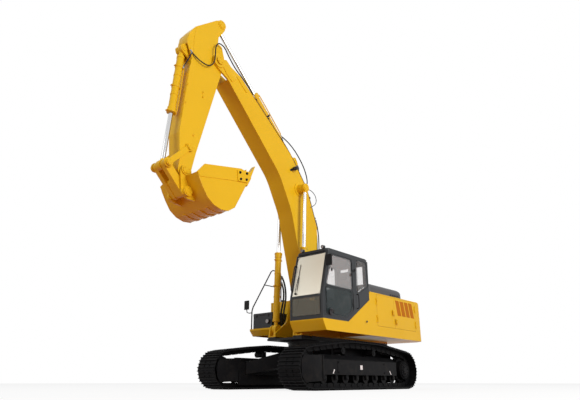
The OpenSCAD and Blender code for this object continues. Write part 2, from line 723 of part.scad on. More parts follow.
front_strip = [[cab_front, deck_z], [cab_front, deck_z + cab_bend], [cab_brow, wall_top],
    [cab_brow - cab_t, wall_top], [cab_front - cab_t, deck_z + cab_bend - 6], [cab_front - cab_t, deck_z]];
module cab_front_frame() {
    color(cab_grey) difference() {
        side_plate(front_strip, cab_right + cab_t, cab_left - cab_t);
        block(cab_front - 200, cab_front + 1, cab_right + 100, cab_left - 100, deck_z + 110, deck_z + 470);
        block(cab_front - 500, cab_front + 1, cab_right + 100, cab_left - 100, deck_z + 570, wall_top - 60);
    }
}
module cab_roof() {
    plan = rounded([[cab_rear, cab_right, 60], [cab_brow + 20, cab_right, 110],
        [cab_brow + 20, cab_left, 110], [cab_rear, cab_left, 60]]);
    color(cab_grey) {
        translate([0, 0, wall_top]) linear_extrude(height = roof_t - 25) polygon(plan);
        translate([0, 0, cab_top - 35]) linear_extrude(height = 35) polygon(inset(plan, 25));
        for (y = [cab_right + 170, cab_left - 170]) {
            rod([cab_brow - 60, cab_top + 45], [cab_brow + 15, cab_top + 40], 42, y);
            block(cab_brow - 60, cab_brow - 20, y - 15, y + 15, cab_top - 10, cab_top + 20);
        }
    }
}
module cab_glass() {
    lean = bearing([cab_brow - cab_front, wall_top - deck_z - cab_bend]) - 90;
    color(glassy) {
        block(cab_front, cab_front + glass_t, cab_right + 75, cab_left - 75, deck_z + 85, deck_z + 495);
        translate([cab_front, 0, deck_z + cab_bend]) rotate([0, -lean, 0])
            block(0, glass_t, cab_right + 75, cab_left - 75, 15, 1025);
        side_plate(inset(right_window, -20), cab_right - glass_t, cab_right);
        side_plate(inset(quarter_window, -20), cab_left, cab_left + glass_t);
        block(cab_rear - glass_t, cab_rear, cab_right + 110, cab_left - 110, deck_z + 880, wall_top - 80);
    }
}
module cab_door() {
    color(cab_grey) difference() {
        side_plate(door_shape, cab_left - cab_t, cab_left);
        side_plate(door_window_top, cab_left - cab_t - 1, cab_left + 1);
        side_plate(door_window_low, cab_left - cab_t - 1, cab_left + 1);
    }
    color(cab_grey) door_side(347, hinge_y, cab_hinge_zs, 1, cab_left);
}
module door_glass() {
    color(glassy) {
        side_plate(inset(door_window_top, -20), cab_left, cab_left + glass_t);
        side_plate(inset(door_window_low, -20), cab_left, cab_left + glass_t);
    }
}
seat_y = (cab_left + cab_right) / 2;
// Seat, side consoles with levers and the travel levers
module operator_station() {
    color(black) {
        block(150, 600, seat_y - 200, seat_y + 200, deck_z + 40, deck_z + 380);
        block(100, 650, seat_y - 250, seat_y + 250, deck_z + 380, deck_z + 500);
        side_plate(rounded([[60, deck_z + 420, 30], [180, deck_z + 420, 30], [60, deck_z + 1120, 40],
            [-60, deck_z + 1120, 40]]), seat_y - 240, seat_y + 240);
        side_plate(rounded([[40, deck_z + 1110, 30], [-70, deck_z + 1110, 30], [-100, deck_z + 1320, 40],
            [0, deck_z + 1320, 40]]), seat_y - 140, seat_y + 140);
        for (s = [-1, 1]) {
            block(200, 760, seat_y + s * 330 - 70, seat_y + s * 330 + 70, deck_z + 40, deck_z + 640);
            translate([680, seat_y + s * 330, deck_z + 640]) cylinder(r = 14, h = 190);
            translate([1080, seat_y + s * 90, deck_z + 40]) cylinder(r = 14, h = 560);
        }
    }
}

module boom() {
    inner = boom_w / 2 - boom_t;
    ears = rounded([[box_end - 580, 185, 0], [box_end, 62, 200], [boom_len - 170, -120, 150],
        [boom_len, -185, 150], [boom_len + 190, 0, 150], [boom_len, 185, 150], [box_end, 571, 100],
        [box_end - 580, 770, 0]]);
    lug = rounded([[arm_base[0] - 260, arm_base[1] - 260, 0], [arm_base[0] + 170, arm_base[1] - 260, 0],
        [arm_base[0] + 105, arm_base[1] + 90, 60], [arm_base[0] - 110, arm_base[1] + 90, 60]]);
    doubler = rounded([[boom_len + 120, -30, 80], [boom_len + 110, 100, 60], [box_end + 10, 540, 60],
        [box_end - 420, 640, 30], [box_end - 420, 540, 30], [box_end + 10, 410, 60],
        [boom_len - 60, 60, 60]]);
    color(yellow) in_boom() {
        difference() {
            union() {
                side_plate(boom_outline, -boom_w / 2, boom_w / 2);
                bar([0, 0], 185, -boom_foot_w / 2, boom_foot_w / 2);
                both_sides() {
                    side_plate(ears, arm_w / 2 + side_gap, boom_w / 2);
                    side_plate(doubler, boom_w / 2 - 2, boom_w / 2 + 14);
                    bar([boom_len, 0], 175, arm_w / 2 + side_gap, boom_w / 2 + 20);
                    bar(boom_pin, 190, boom_w / 2 - 5, boom_w / 2 + 20);
                    bar(boom_pin, 130, boom_w / 2 - 5, boom_cyl_y - boom_eye_w / 2 - side_gap);
                    side_plate(lug, 65, 115);
                }
            }
            difference() {
                side_plate(inset(boom_outline, boom_t), -inner, inner);
                bar([0, 0], 185, -inner - 1, inner + 1);
                bar(boom_pin, 150, -inner - 1, inner + 1);
                both_sides() side_plate(ears, arm_w / 2 + side_gap, boom_w / 2);
            }
            bar([0, 0], pin_r + 15 + pin_gap, -boom_foot_w, boom_foot_w);
            bar([boom_len, 0], pin_r + pin_gap, -boom_w, boom_w);
        }
        bar(arm_base, pin_r, -115, 115);
    }
}

module boom_lamp() {
    y = boom_w / 2 + 105;
    color(black) in_boom() translate([arm_base[0] - 190, 0, arm_base[1] - 460]) {
        block(0, 60, boom_w / 2, y + 10, 0, 14);
        block(0, 60, boom_w / 2, boom_w / 2 + 12, -50, 60);
        block(15, 45, y - 15, y + 15, 10, 40);
        rod([-20, 105], [70, 95], 70, y);
    }
}
// The hydraulic lines on the boom's top plate, in clamps that stand on its straight stretches
top_line = [[0.2326 * boom_len, 1330], [0.403 * boom_len, 1540], [0.574 * boom_len, 1400], [box_end, 571]];
function top_at(x, h) =
    let (i = x < top_line[1][0] ? 0 : (x < top_line[2][0] ? 1 : 2), u = unit(top_line[i + 1] - top_line[i]))
    top_line[i] + (x - top_line[i][0]) / u[0] * u + h * [-u[1], u[0]];
module pipe(y, xs) {
    q = [for (x = xs) top_at(x, 40)];
    bent_tube([for (p = q) [p[0], y, p[1]]], 12, 8);
}
module clamp(x, y0, y1) {
    i = x < top_line[1][0] ? 0 : (x < top_line[2][0] ? 1 : 2);
    tilt = bearing(top_line[i + 1] - top_line[i]);
    p = top_at(x, slip);
    translate([p[0], 0, p[1]]) rotate([0, -tilt, 0]) block(-25, 25, y0, y1, 0, 60);
}
module boom_pipes() {
    start = top_line[0][0] + 240;
    bend_a = top_line[1][0];
    bend_b = top_line[2][0];
    far = box_end - 560;
    long = [start, bend_a - 200, bend_a + 160, bend_b - 200, bend_b + 180, far];
    short = [start, bend_a - 200, bend_a + 160, bend_b - 460];
    color(black) in_boom() {
        for (y = [175, 215]) pipe(y, long);
        for (y = [-215, -175]) pipe(y, short);
        near = [start + 60, bend_a - 220, bend_b - 500];
        for (x = concat(near, [bend_b + 400, 0.5 * (bend_b + far) + 200, far - 100])) clamp(x, 155, 235);
        for (x = near) clamp(x, -235, -155);
    }
}

// A barrel from a to b with its end cap, gland and two clamp bands
module barrel(a, b, r, y = 0) {
    u = unit(b - a);
    rod(a, b, r, y);
    rod(a, a + 60 * u, r + 8, y);
    rod(b - 130 * u, b, r + 14, y);
    rod(b - 45 * u, b - 15 * u, r + 22, y);
    for (f = [0.34, 0.68]) rod(a + f * (b - a), a + f * (b - a) + 36 * u, r + 7, y);
}
module boom_barrels() {
    along = unit(boom_cyl_top - boom_cyl_base);
    color(yellow) for (s = [-1, 1]) difference() {
        union() {
            bar(boom_cyl_base, eye_r - 15, s * boom_cyl_y - boom_eye_w / 2, s * boom_cyl_y + boom_eye_w / 2);
            rod(boom_cyl_base + 60 * along, boom_cyl_base + 200 * along, 48, s * boom_cyl_y);
            barrel(boom_cyl_base + 190 * along, boom_gland, barrel_r, s * boom_cyl_y);
        }
        bar(boom_cyl_base, pin_r + pin_gap, s * boom_cyl_y - 100, s * boom_cyl_y + 100);
        rod(boom_cyl_base + 230 * along, boom_gland + 10 * along, rod_r + slip, s * boom_cyl_y);
    }
}
module boom_rods() {
    along = unit(boom_cyl_top - boom_cyl_base);
    color(steel) for (s = [-1, 1]) {
        rod(boom_gland - 150 * along, boom_cyl_top - 40 * along, rod_r, s * boom_cyl_y);
        bar(boom_cyl_top, eye_r, s * boom_cyl_y - boom_eye_w / 2, s * boom_cyl_y + boom_eye_w / 2);
    }
}

arm_along = unit(arm_pin - arm_base);
arm_gland = arm_base + 0.53 * (arm_pin - arm_base);
module arm_barrel() {
    color(yellow) in_boom() difference() {
        union() {
            bar(arm_base, eye_r - 15, -60, 60);
            rod(arm_base + 60 * arm_along, arm_base + 240 * arm_along, 58);
            barrel(arm_base + 230 * arm_along, arm_gland, barrel_r + 6);
        }
        bar(arm_base, pin_r + pin_gap, -100, 100);
        rod(arm_base + 270 * arm_along, arm_gland + 10 * arm_along, rod_r + slip);
    }
}
module arm_rod() {
    color(steel) in_boom() {
        rod(arm_gland - 150 * arm_along, arm_pin, rod_r);
        bar(arm_pin, eye_r, -60, 60);
    }
}

module arm() {
    inner = arm_w / 2 - arm_t;
    // The head's side plates, from the bucket cylinder's lug to the tail
    crown = [[tail_pin[0] + 20, tail_pin[1] + 185], [-430, 860], [-125, 960]];
    head = rounded([[-480, 150, 0], [-700, 190, 0], [-850, 130, 0],
        [tail_pin[0] + 50, tail_pin[1] - 140, 110], [tail_pin[0] - 150, tail_pin[1] + 10, 120],
        concat(crown[0], [90]), concat(crown[1], [200]),
        concat(crown[2], [120]), [170, 930, 100], [520, 660, 0], [300, 560, 0], [-300, 300, 0]]);
    lid = [crown[0], crown[1], crown[2], crown[2] - [4, 22], crown[1] - [-9, 24], crown[0] - [-12, 20]];
    lug = rounded([[40, 690, 0], [500, 655, 0], [430, 860, 60], [400, 960, 60],
        [300, 1025, 60], [190, 950, 80]]);
    color(yellow) in_arm() {
        difference() {
            union() {
                side_plate(arm_outline, -arm_w / 2, arm_w / 2);
                bar([0, 0], 190, -arm_w / 2, arm_w / 2);
                bar([arm_len, 0], 165, -arm_w / 2, arm_w / 2);
                side_plate(lid, -arm_w / 2 + 10, arm_w / 2 - 10);
                both_sides() {
                    side_plate(head, arm_w / 2 - 24, arm_w / 2);
                    bar(tail_pin, 125, 75, arm_w / 2 + 12);
                    side_plate(lug, 65, 110);
                }
            }
            difference() {
                side_plate(inset(arm_outline, arm_t), -inner, inner);
                bar([0, 0], 150, -arm_w, arm_w);
                bar([arm_len, 0], 165, -arm_w, arm_w);
                bar(rocker_pin, 105, -arm_w, arm_w);
            }
            bar([arm_len, 0], pin_r + pin_gap, -arm_w, arm_w);
            bar(rocker_pin, pin_r + pin_gap, -arm_w, arm_w);
        }
        bar([0, 0], pin_r, -boom_w / 2 - 45, boom_w / 2 + 45);
        bar(bucket_base, pin_r, -110, 110);
    }
}

bucket_along = unit(rod_pin - bucket_base);
bucket_gland = bucket_base + 0.573 * (rod_pin - bucket_base);
module bucket_barrel() {
    color(yellow) in_arm() difference() {
        union() {
            bar(bucket_base, eye_r - 15, -60, 60);
            rod(bucket_base + 60 * bucket_along, bucket_base + 215 * bucket_along, 58);
            barrel(bucket_base + 205 * bucket_along, bucket_gland, barrel_r);
        }
        bar(bucket_base, pin_r + pin_gap, -100, 100);
        rod(bucket_base + 245 * bucket_along, bucket_gland + 10 * bucket_along, rod_r + slip);
    }
}
module bucket_rod() {
    color(steel) in_arm() {
        rod(bucket_gland - 150 * bucket_along, rod_pin, rod_r);
        bar(rod_pin, eye_r, -65, 65);
    }
}

// A flat bar with round ends between two points
module strap(a, b, r, y0, y1) {
    q = concat([for (k = [0:8]) a + r * dir(bearing(a - b) - 90 + 180 * k / 8)],
        [for (k = [0:8]) b + r * dir(bearing(b - a) - 90 + 180 * k / 8)]);
    side_plate(q, y0, y1);
}
module rockers() {
    y0 = arm_w / 2 + side_gap;
    color(yellow) in_arm() {
        both_sides() {
            strap(rocker_pin, rod_pin, 64, y0, y0 + 40);
            bar(rocker_pin, 100, y0, y0 + 46);
            bar(rod_pin, 105, y0, y0 + 46);
            bar(rod_pin, 82, y0 + 46, y0 + 95);
        }
        bar(rocker_pin, pin_r, -arm_w / 2 - 65, arm_w / 2 + 65);
    }
}
module tip_link() {
    web = ear_pin + 0.42 * (rod_pin - ear_pin);
    color(yellow) in_arm() difference() {
        union() {
            both_sides() strap(ear_pin, rod_pin, 95, 75, arm_w / 2);
            strap(ear_pin, web, 80, -80, 80);
        }
        bar(ear_pin, pin_r + pin_gap, -arm_w, arm_w);
    }
}

// Bucket geometry: a runs from the pin to the tooth tips, b is square to it
lip = [1480, 245];
belly = [[-20, 235], [45, 470], [130, 690], [270, 850], [450, 955], [650, 990], [860, 915], lip];
// The belly's line moved in by d
function belly_line(d) = [for (i = [0:7]) let (u = unit(belly[min(i + 1, 7)] - belly[max(i - 1, 0)]))
    belly[i] + d * [u[1], -u[0]]];
tooth_len = 420;
ear_at = ear_len * dir(ear_bearing + arm_angle - bucket_angle);
// A tooth on its adapter, on the lip's middle line and h thick at its root
function tooth_shape(u, n, h) = [lip - 190 * u + h * n, lip + 70 * u + h * n, lip + 90 * u + 0.7 * h * n,
    lip + tooth_len * u + 6 * n, lip + tooth_len * u - 6 * n, lip + 90 * u - 0.8 * h * n,
    lip + 70 * u - h * n, lip - 150 * u - h * n];
module bucket() {
    w = bucket_w / 2;
    floor_dir = unit(lip - belly[6]);
    across = [-floor_dir[1], floor_dir[0]];
    cheek = concat(belly, [[1470, 110], [1272, 17], [199, -38], [-45, 140]]);
    band = [[-40, 150], [-12, 240], [1085, 318], [1365, 352], [1462, 240],
        [1455, 115], [1265, 27], [203, -26]];
    cutter = rounded([[1110, 60, 20], [1075, 322, 20], [1375, 356, 20], [1500, 225, 20], [1490, 95, 30]]);
    wear = concat([for (i = [3:6]) belly[i]], [for (i = [6:-1:3]) belly_line(-16)[i]]);
    ears = rounded([[-150, 10, 120], [-10, -165, 130], [160, -20, 110], [130, 120, 0], [40, 245, 0],
        [80, 470, 0], [160, 690, 0], [90, 680, 0], [-70, 630, 120], [-205, 500, 110]]);
    brace = [[-45, 140], [-20, 235], [10, 232], [-15, 132]];
    color(yellow) in_bucket() {
        side_plate(concat(belly, [for (i = [7:-1:0]) belly_line(bucket_t)[i]]), -w + 30, w - 30);
        both_sides() {
            side_plate(cheek, w - 32, w);
            side_plate(band, w - 2, w + 12);
            side_plate(cutter, w - 2, w + 32);
            side_plate(ears, arm_w / 2 + side_gap, arm_w / 2 + side_gap + ear_t);
            side_plate(brace, arm_w / 2 + side_gap + ear_t - 5, w - 25);
            bar([0, 0], 120, arm_w / 2 + side_gap + ear_t - 2, arm_w / 2 + side_gap + ear_t + 25);
            bar(ear_at, 110, arm_w / 2 + side_gap + ear_t - 2, arm_w / 2 + side_gap + ear_t + 60);
        }
        for (k = [0:tooth_count - 1]) {
            y = -w + 80 + (bucket_w - 160) * k / (tooth_count - 1);
            side_plate(tooth_shape(floor_dir, across, 58), y - 55, y + 55);
        }
        for (y = [-380, -130, 130, 380]) side_plate(wear, y - 45, y + 45);
        bar([0, 0], pin_r, -arm_w / 2 - ear_t - 35, arm_w / 2 + ear_t + 35);
        bar(ear_at, pin_r, -arm_w / 2 - ear_t - 25, arm_w / 2 + ear_t + 25);
    }
}

car_body();
slew_ring();
track_frame_left();
track_frame_right();
track_left();
track_right();
final_drives();
idlers();
track_rollers();
main_frame();
counterweight();
house_frame();
engine_block();
engine_hood();
top_cover();
front_panel();
left_door();
radiator_door();
pump_door();
tanks();
toolbox();
handrails();
cab_floor();
cab_front_frame();
cab_left_wall();
cab_right_wall();
cab_rear_wall();
cab_roof();
cab_glass();
cab_door();
door_glass();
operator_station();
boom();
boom_lamp();
boom_pipes();
boom_barrels();
boom_rods();
arm_barrel();
arm_rod();
arm();
bucket_barrel();
bucket_rod();
rockers();
tip_link();
bucket();
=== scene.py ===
"""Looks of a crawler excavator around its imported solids: paint, steel, rubber, glass and small parts.

Metres. +X is forward (the boom's side), +Y is left (the cab's side), +Z is up.
"""

import json
import math

import bmesh
import bpy
from mathutils import Matrix, Vector
from mathutils.geometry import interpolate_bezier

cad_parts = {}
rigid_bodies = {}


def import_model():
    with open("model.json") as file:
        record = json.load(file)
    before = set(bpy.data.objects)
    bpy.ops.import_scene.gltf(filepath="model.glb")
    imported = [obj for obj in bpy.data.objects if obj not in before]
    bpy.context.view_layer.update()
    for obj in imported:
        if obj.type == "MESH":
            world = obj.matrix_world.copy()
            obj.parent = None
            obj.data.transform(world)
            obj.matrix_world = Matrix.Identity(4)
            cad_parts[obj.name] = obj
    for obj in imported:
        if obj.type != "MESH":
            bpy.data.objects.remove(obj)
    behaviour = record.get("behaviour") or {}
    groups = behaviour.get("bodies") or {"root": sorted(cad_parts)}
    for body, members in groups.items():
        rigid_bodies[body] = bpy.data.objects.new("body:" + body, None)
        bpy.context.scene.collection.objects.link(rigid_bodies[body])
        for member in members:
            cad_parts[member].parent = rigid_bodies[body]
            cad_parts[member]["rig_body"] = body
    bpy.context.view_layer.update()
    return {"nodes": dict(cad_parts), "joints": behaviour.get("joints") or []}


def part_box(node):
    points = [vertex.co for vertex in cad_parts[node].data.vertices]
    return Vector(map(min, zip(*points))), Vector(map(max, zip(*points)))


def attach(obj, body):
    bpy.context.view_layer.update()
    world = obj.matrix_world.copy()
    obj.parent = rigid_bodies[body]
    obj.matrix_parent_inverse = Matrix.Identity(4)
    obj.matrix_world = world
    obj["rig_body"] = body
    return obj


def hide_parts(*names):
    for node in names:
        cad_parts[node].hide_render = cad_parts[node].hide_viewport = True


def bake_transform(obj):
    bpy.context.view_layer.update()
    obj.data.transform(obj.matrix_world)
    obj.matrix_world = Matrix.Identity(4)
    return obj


bl_info = {
    "name": "Crawler excavator looks",
    "version": (1, 0, 0),
    "blender": (4, 5, 0),
    "location": "View3D > Sidebar > Excavator",
    "description": "Dresses the packed solids of a crawler excavator",
    "category": "Object",
}

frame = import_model()
JOINTS = {joint["name"]: joint for joint in frame["joints"]}


def pin_of(joint):
    """Where a joint's axis crosses the machine, at rest."""
    return Vector(JOINTS[joint]["pos_m"])


def lengthwise(origin, angle):
    """A frame in the machine's side plane: X along the angle, Y across the machine, Z square to both."""
    return Matrix.Translation(origin) @ Matrix.Rotation(-angle, 4, "Y")


def rise(start, end):
    """Angle of the way from start to end over the ground, seen from the right side."""
    return math.atan2(end.z - start.z, end.x - start.x)


FOOT, TIP, NOSE = pin_of("boom_hinge"), pin_of("arm_hinge"), pin_of("bucket_hinge")
BOOM = lengthwise(FOOT, rise(FOOT, TIP))
ARM = lengthwise(TIP, rise(TIP, NOSE))
BUCKET = lengthwise(NOSE, math.radians(164.5))
MACHINE = Matrix.Identity(4)
CAB_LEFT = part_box("cab_left_wall")[1].y
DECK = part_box("cab_floor")[0].z
SIDES = ((1, "left"), (-1, "right"))
WHITE = (1.0, 1.0, 1.0, 1.0)

# Pins of the working front, each along and square to the part that carries it
BOOM_PIN, ARM_BASE, ARM_PIN = (2.709, 1.190), (3.451, 1.640), (7.390, 0.670)
BUCKET_BASE, ROCKER_PIN, ROD_PIN, EAR_PIN = (0.30, 0.90), (2.67, 0.06), (3.3175, 0.4385), (3.6978, -0.1728)


def in_plane(point, y=0.0):
    """A point of a part's side plane, as a place in the part's frame."""
    return Vector((point[0], y, point[1]))


def in_frame(place, points):
    """Points of a frame, in the machine's frame."""
    return [place @ Vector(p) for p in points]


# Settings

def colour(name, description, default):
    return bpy.props.FloatVectorProperty(name=name, description=description, default=default,
                                         subtype="COLOR", size=3, min=0.0, max=1.0)


def size(name, description, default):
    return bpy.props.FloatProperty(name=name, description=description, default=default,
                                   unit="LENGTH", min=0.0)


class FinishSettings(bpy.types.PropertyGroup):
    """Colours of the finishes."""

    paint: colour("Paint", "Yellow of the body, the boom and the bucket", (0.815, 0.515, 0.012))
    paint_deep: colour("Deep paint", "Tone towards which the yellow drifts", (0.765, 0.465, 0.009))
    cab: colour("Cab grey", "Paint of the cab's posts, walls and roof", (0.040, 0.047, 0.051))
    black: colour("Chassis black", "Paint of the undercarriage", (0.0045, 0.0045, 0.005))
    track: colour("Track steel", "Shoes and chain", (0.004, 0.004, 0.0045))
    plastic: colour("Black plastic", "Lamps, latches, consoles and grips", (0.022, 0.022, 0.024))
    rubber: colour("Rubber", "Hoses and gaskets", (0.012, 0.012, 0.012))
    hood: colour("Hood", "Moulded engine hood", (0.052, 0.053, 0.057))
    glass: colour("Glass", "Tint of the upper panes", (0.66, 0.70, 0.70))
    screen: colour("Windscreen", "Tint of the windscreen", (0.80, 0.77, 0.66))
    dark_glass: colour("Dark glass", "Tint of the door's lower pane", (0.030, 0.048, 0.050))
    nose_glass: colour("Nose glass", "Tint of the low pane in front", (0.25, 0.27, 0.21))
    cloth: colour("Seat cloth", "Cover of the seat", (0.045, 0.047, 0.052))
    dust: colour("Dust", "Dry dust near the ground", (0.16, 0.14, 0.115))


class SizeSettings(bpy.types.PropertyGroup):
    """Sizes of the small parts."""

    hose: size("Hose", "Outer diameter of a boom cylinder's hose", 0.046)
    arm_hose: size("Arm hose", "Outer diameter of a hose along the boom and the arm", 0.030)
    thin_hose: size("Grease hose", "Outer diameter of a grease hose", 0.018)
    bolt: size("Bolt", "Half width of a bolt's head", 0.018)
    edge: size("Edge", "Rounding of a plate's edge", 0.006)
    gasket: size("Gasket", "Width of the rubber round a pane", 0.032)


class StageSettings(bpy.types.PropertyGroup):
    """Camera and light."""

    eye: bpy.props.FloatVectorProperty(name="Eye", description="Place of the camera", size=3,
                                       default=(10.412, 8.304, 0.172), subtype="TRANSLATION")
    heading: bpy.props.FloatProperty(name="Heading", description="Direction of view over the ground",
                                     default=math.radians(-138.859), subtype="ANGLE")
    pitch: bpy.props.FloatProperty(name="Pitch", description="How far the camera looks up",
                                   default=math.radians(20.171), subtype="ANGLE")
    lens: bpy.props.FloatProperty(name="Lens", description="Focal length on a 36 mm sensor",
                                  default=30.74, min=1.0)
    floor: colour("Floor", "Pale studio floor", (0.95, 0.95, 0.95))
    bounce: colour("Bounce", "Light that the warm ground throws back", (0.50, 0.185, 0.14))
    sky: bpy.props.FloatProperty(name="Sky", description="Light of the room from all sides",
                                 default=0.40, min=0.0)
    key: bpy.props.FloatProperty(name="Key", description="Power of the main lamp in watts",
                                 default=2750.0, min=0.0)


def sizes():
    return bpy.context.scene.excavator_sizes


def colours():
    return bpy.context.scene.excavator_finishes


# Finishes

class Tone:
    """A value on its way through a finish; sums and products of it add Math nodes."""

    def __init__(self, finish, socket):
        self.finish = finish
        self.socket = socket

    def _math(self, operation, first, second):
        return self.finish.node("ShaderNodeMath", {"operation": operation}, {0: first, 1: second})

    def __add__(self, other):
        return self._math("ADD", self, other)

    __radd__ = __add__

    def __sub__(self, other):
        return self._math("SUBTRACT", self, other)

    def __rsub__(self, other):
        return self._math("SUBTRACT", other, self)

    def __mul__(self, other):
        return self._math("MULTIPLY", self, other)

    __rmul__ = __mul__

    def above(self, edge, width):
        """0 below edge, 1 above edge + width, and a smooth way between them."""
        return self.finish.node("ShaderNodeMapRange", {"interpolation_type": "SMOOTHSTEP"},
                                {"Value": self, "From Min": edge, "From Max": edge + width})


class Nodes:
    """The nodes of a material or of the room."""

    def __init__(self, owner):
        owner.use_nodes = True
        self.tree = owner.node_tree
        self.tree.nodes.clear()

    def node(self, kind, settings=None, inputs=None, output=0):
        """Adds a node: its settings first, then the values or links of its sockets."""
        made = self.tree.nodes.new(kind)
        for name, value in (settings or {}).items():
            setattr(made, name, value)
        for name, value in (inputs or {}).items():
            if isinstance(value, Tone):
                self.tree.links.new(value.socket, made.inputs[name])
            else:
                made.inputs[name].default_value = value
        return Tone(self, made.outputs[output]) if made.outputs else None

    def seen(self):
        """1 where the camera, a mirror or a pane looks, 0 for the light that falls on things."""
        looks = [self.node("ShaderNodeLightPath", output=ray)
                 for ray in ("Is Camera Ray", "Is Glossy Ray", "Is Transmission Ray")]
        return (looks[0] + looks[1] + looks[2]).above(0.0, 0.5)


class Finish(Nodes):
    """A material's nodes: patterns on the piece's own place, and the shader they feed."""

    def __init__(self, name):
        self.material = bpy.data.materials.new(name)
        super().__init__(self.material)
        self.place = self.node("ShaderNodeTexCoord", output="Object")

    def stretched(self, x, y, z):
        return self.node("ShaderNodeMapping", inputs={"Vector": self.place, "Scale": (x, y, z)})

    def grain(self, scale, detail=2.0, place=None):
        return self.node("ShaderNodeTexNoise", inputs={
            "Vector": place or self.place, "Scale": scale, "Detail": detail})

    def along(self, axis):
        return self.node("ShaderNodeSeparateXYZ", inputs={0: self.place}, output=axis)

    def mix(self, factor, first, second):
        return self.node("ShaderNodeMix", {"data_type": "RGBA"},
                         {0: factor, 6: first, 7: second}, output=2)

    def bump(self, height, strength, depth):
        return self.node("ShaderNodeBump", inputs={
            "Height": height, "Strength": strength, "Distance": depth})

    def shade(self, **sockets):
        """The shader and the output; a socket's name has underscores for its spaces."""
        shader = self.node("ShaderNodeBsdfPrincipled",
                           inputs={name.replace("_", " "): value for name, value in sockets.items()})
        self.node("ShaderNodeOutputMaterial", inputs={"Surface": shader})
        return self.material


def rgba(tone, factor=1.0):
    return (tone[0] * factor, tone[1] * factor, tone[2] * factor, 1.0)


def paint(name, tone, deep, rough=0.30, coat=0.0, gloss=0.16, dusty=0.0, dust=None, sill=None):
    """Sprayed paint: slow drift of tone, orange peel, and dust towards the ground; given a sill height,
    painted shade in near black below it.
    """
    f = Finish(name)
    drift = f.grain(0.8, 3.0).above(0.35, 0.35)
    base = f.mix(drift * 0.55, rgba(tone), rgba(deep))
    if sill:
        # Painted shade: below the sill height the paint turns near black, as the yellow looks in the shade
        # under the frame.
        base = f.mix(f.along("Z").above(sill, 0.004), rgba((0.014, 0.014, 0.015)), base)
    if dusty:
        low = 1.0 - f.along("Z").above(0.1, 1.1)
        blown = f.grain(6.0, 5.0).above(0.42, 0.30)
        base = f.mix(low * blown * dusty, base, rgba(dust))
    wiped = f.grain(2.3, 4.0)
    return f.shade(Base_Color=base, Roughness=rough + wiped * 0.14, Specular_IOR_Level=gloss,
                   Coat_Weight=coat, Coat_Roughness=0.15, Normal=f.bump(f.grain(210.0, 1.0), 0.10, 0.0006))


def finish_yellow():
    tones = colours()
    return paint("yellow_paint", tones.paint, tones.paint_deep, coat=0.03)


def finish_louvre_shade():
    """Yellow paint coloured orange brown: painted shade for the plates behind the grille's slats."""
    # Painted shade: the tone is the body's yellow as it looks in the shade of the slats.
    return paint("louvre_painted_shade", (0.52, 0.175, 0.008), (0.43, 0.14, 0.006), rough=0.45, gloss=0.06)


def finish_frame_with_painted_shade():
    """The yellow of the main frame, with painted shade in near black below its skirts."""
    tones = colours()
    # sill=1.215 puts painted shade, near black, under the skirts.
    return paint("frame_paint_with_painted_shade", tones.paint, tones.paint_deep, coat=0.03, sill=1.215)


def finish_cab():
    tones = colours()
    return paint("cab_paint", tones.cab, [c * 0.86 for c in tones.cab], coat=0.05)


def finish_black():
    tones = colours()
    return paint("chassis_paint", tones.black, [c * 1.7 for c in tones.black], rough=0.42, gloss=0.07,
                 dusty=0.05, dust=tones.dust)


def finish_rail():
    tones = colours()
    return paint("rail_paint", tones.black, [c * 1.5 for c in tones.black], rough=0.34, gloss=0.14)


def finish_track():
    """Cast and rolled shoes: black, scuffed in places and faintly dusty."""
    tones = colours()
    f = Finish("track_steel")
    scuff = f.grain(14.0, 6.0).above(0.60, 0.16)
    powder = f.grain(5.0, 4.0).above(0.45, 0.35)
    base = f.mix(powder * 0.03, rgba(tones.track), rgba(tones.dust))
    base = f.mix(scuff * 0.25, base, (0.05, 0.05, 0.053, 1.0))
    return f.shade(Base_Color=base, Metallic=scuff * 0.5, Roughness=0.46 + f.grain(9.0, 4.0) * 0.2,
                   Specular_IOR_Level=0.08, Normal=f.bump(f.grain(60.0, 5.0), 0.25, 0.002))


def finish_steel():
    f = Finish("machined_steel")
    turned = f.grain(90.0, 2.0, f.stretched(1.0, 14.0, 1.0))
    return f.shade(Base_Color=f.mix(turned, (0.19, 0.19, 0.195, 1.0), (0.29, 0.29, 0.295, 1.0)),
                   Metallic=1.0, Roughness=0.28 + turned * 0.16)


def finish_ring():
    """Greased steel of the slewing ring."""
    f = Finish("greased_steel")
    grease = f.grain(11.0, 4.0).above(0.40, 0.3)
    return f.shade(Base_Color=f.mix(grease, (0.030, 0.029, 0.027, 1.0), (0.010, 0.010, 0.009, 1.0)),
                   Metallic=0.4, Roughness=0.55 - grease * 0.15, Specular_IOR_Level=0.15)


def finish_chrome():
    """Chromed rods; their eyes, round the pins, are painted."""
    tones = colours()
    f = Finish("rod_chrome")
    film = f.grain(5.0, 4.0).above(0.45, 0.3)
    side = f.stretched(1.0, 0.0, 1.0)
    bare = 1.0
    for pin in (BOOM @ in_plane(BOOM_PIN), BOOM @ in_plane(ARM_PIN), ARM @ in_plane(ROD_PIN)):
        away = f.node("ShaderNodeVectorMath", {"operation": "DISTANCE"}, {0: side, 1: pin}, output="Value")
        bare = away.above(0.145, 0.003) * bare
    chrome = f.mix(film * 0.4, (0.62, 0.62, 0.62, 1.0), (0.46, 0.46, 0.47, 1.0))
    return f.shade(Base_Color=f.mix(bare, rgba(tones.paint), chrome), Metallic=bare, Specular_IOR_Level=0.16,
                   Roughness=0.30 - bare * 0.20 + film * 0.10)


def finish_plastic():
    tones = colours()
    f = Finish("black_plastic")
    mottle = f.grain(3.0, 4.0)
    return f.shade(Base_Color=f.mix(mottle, rgba(tones.plastic), rgba(tones.plastic, 1.8)),
                   Roughness=0.38 + mottle * 0.18, Specular_IOR_Level=0.25,
                   Normal=f.bump(f.grain(330.0, 2.0), 0.16, 0.0008))


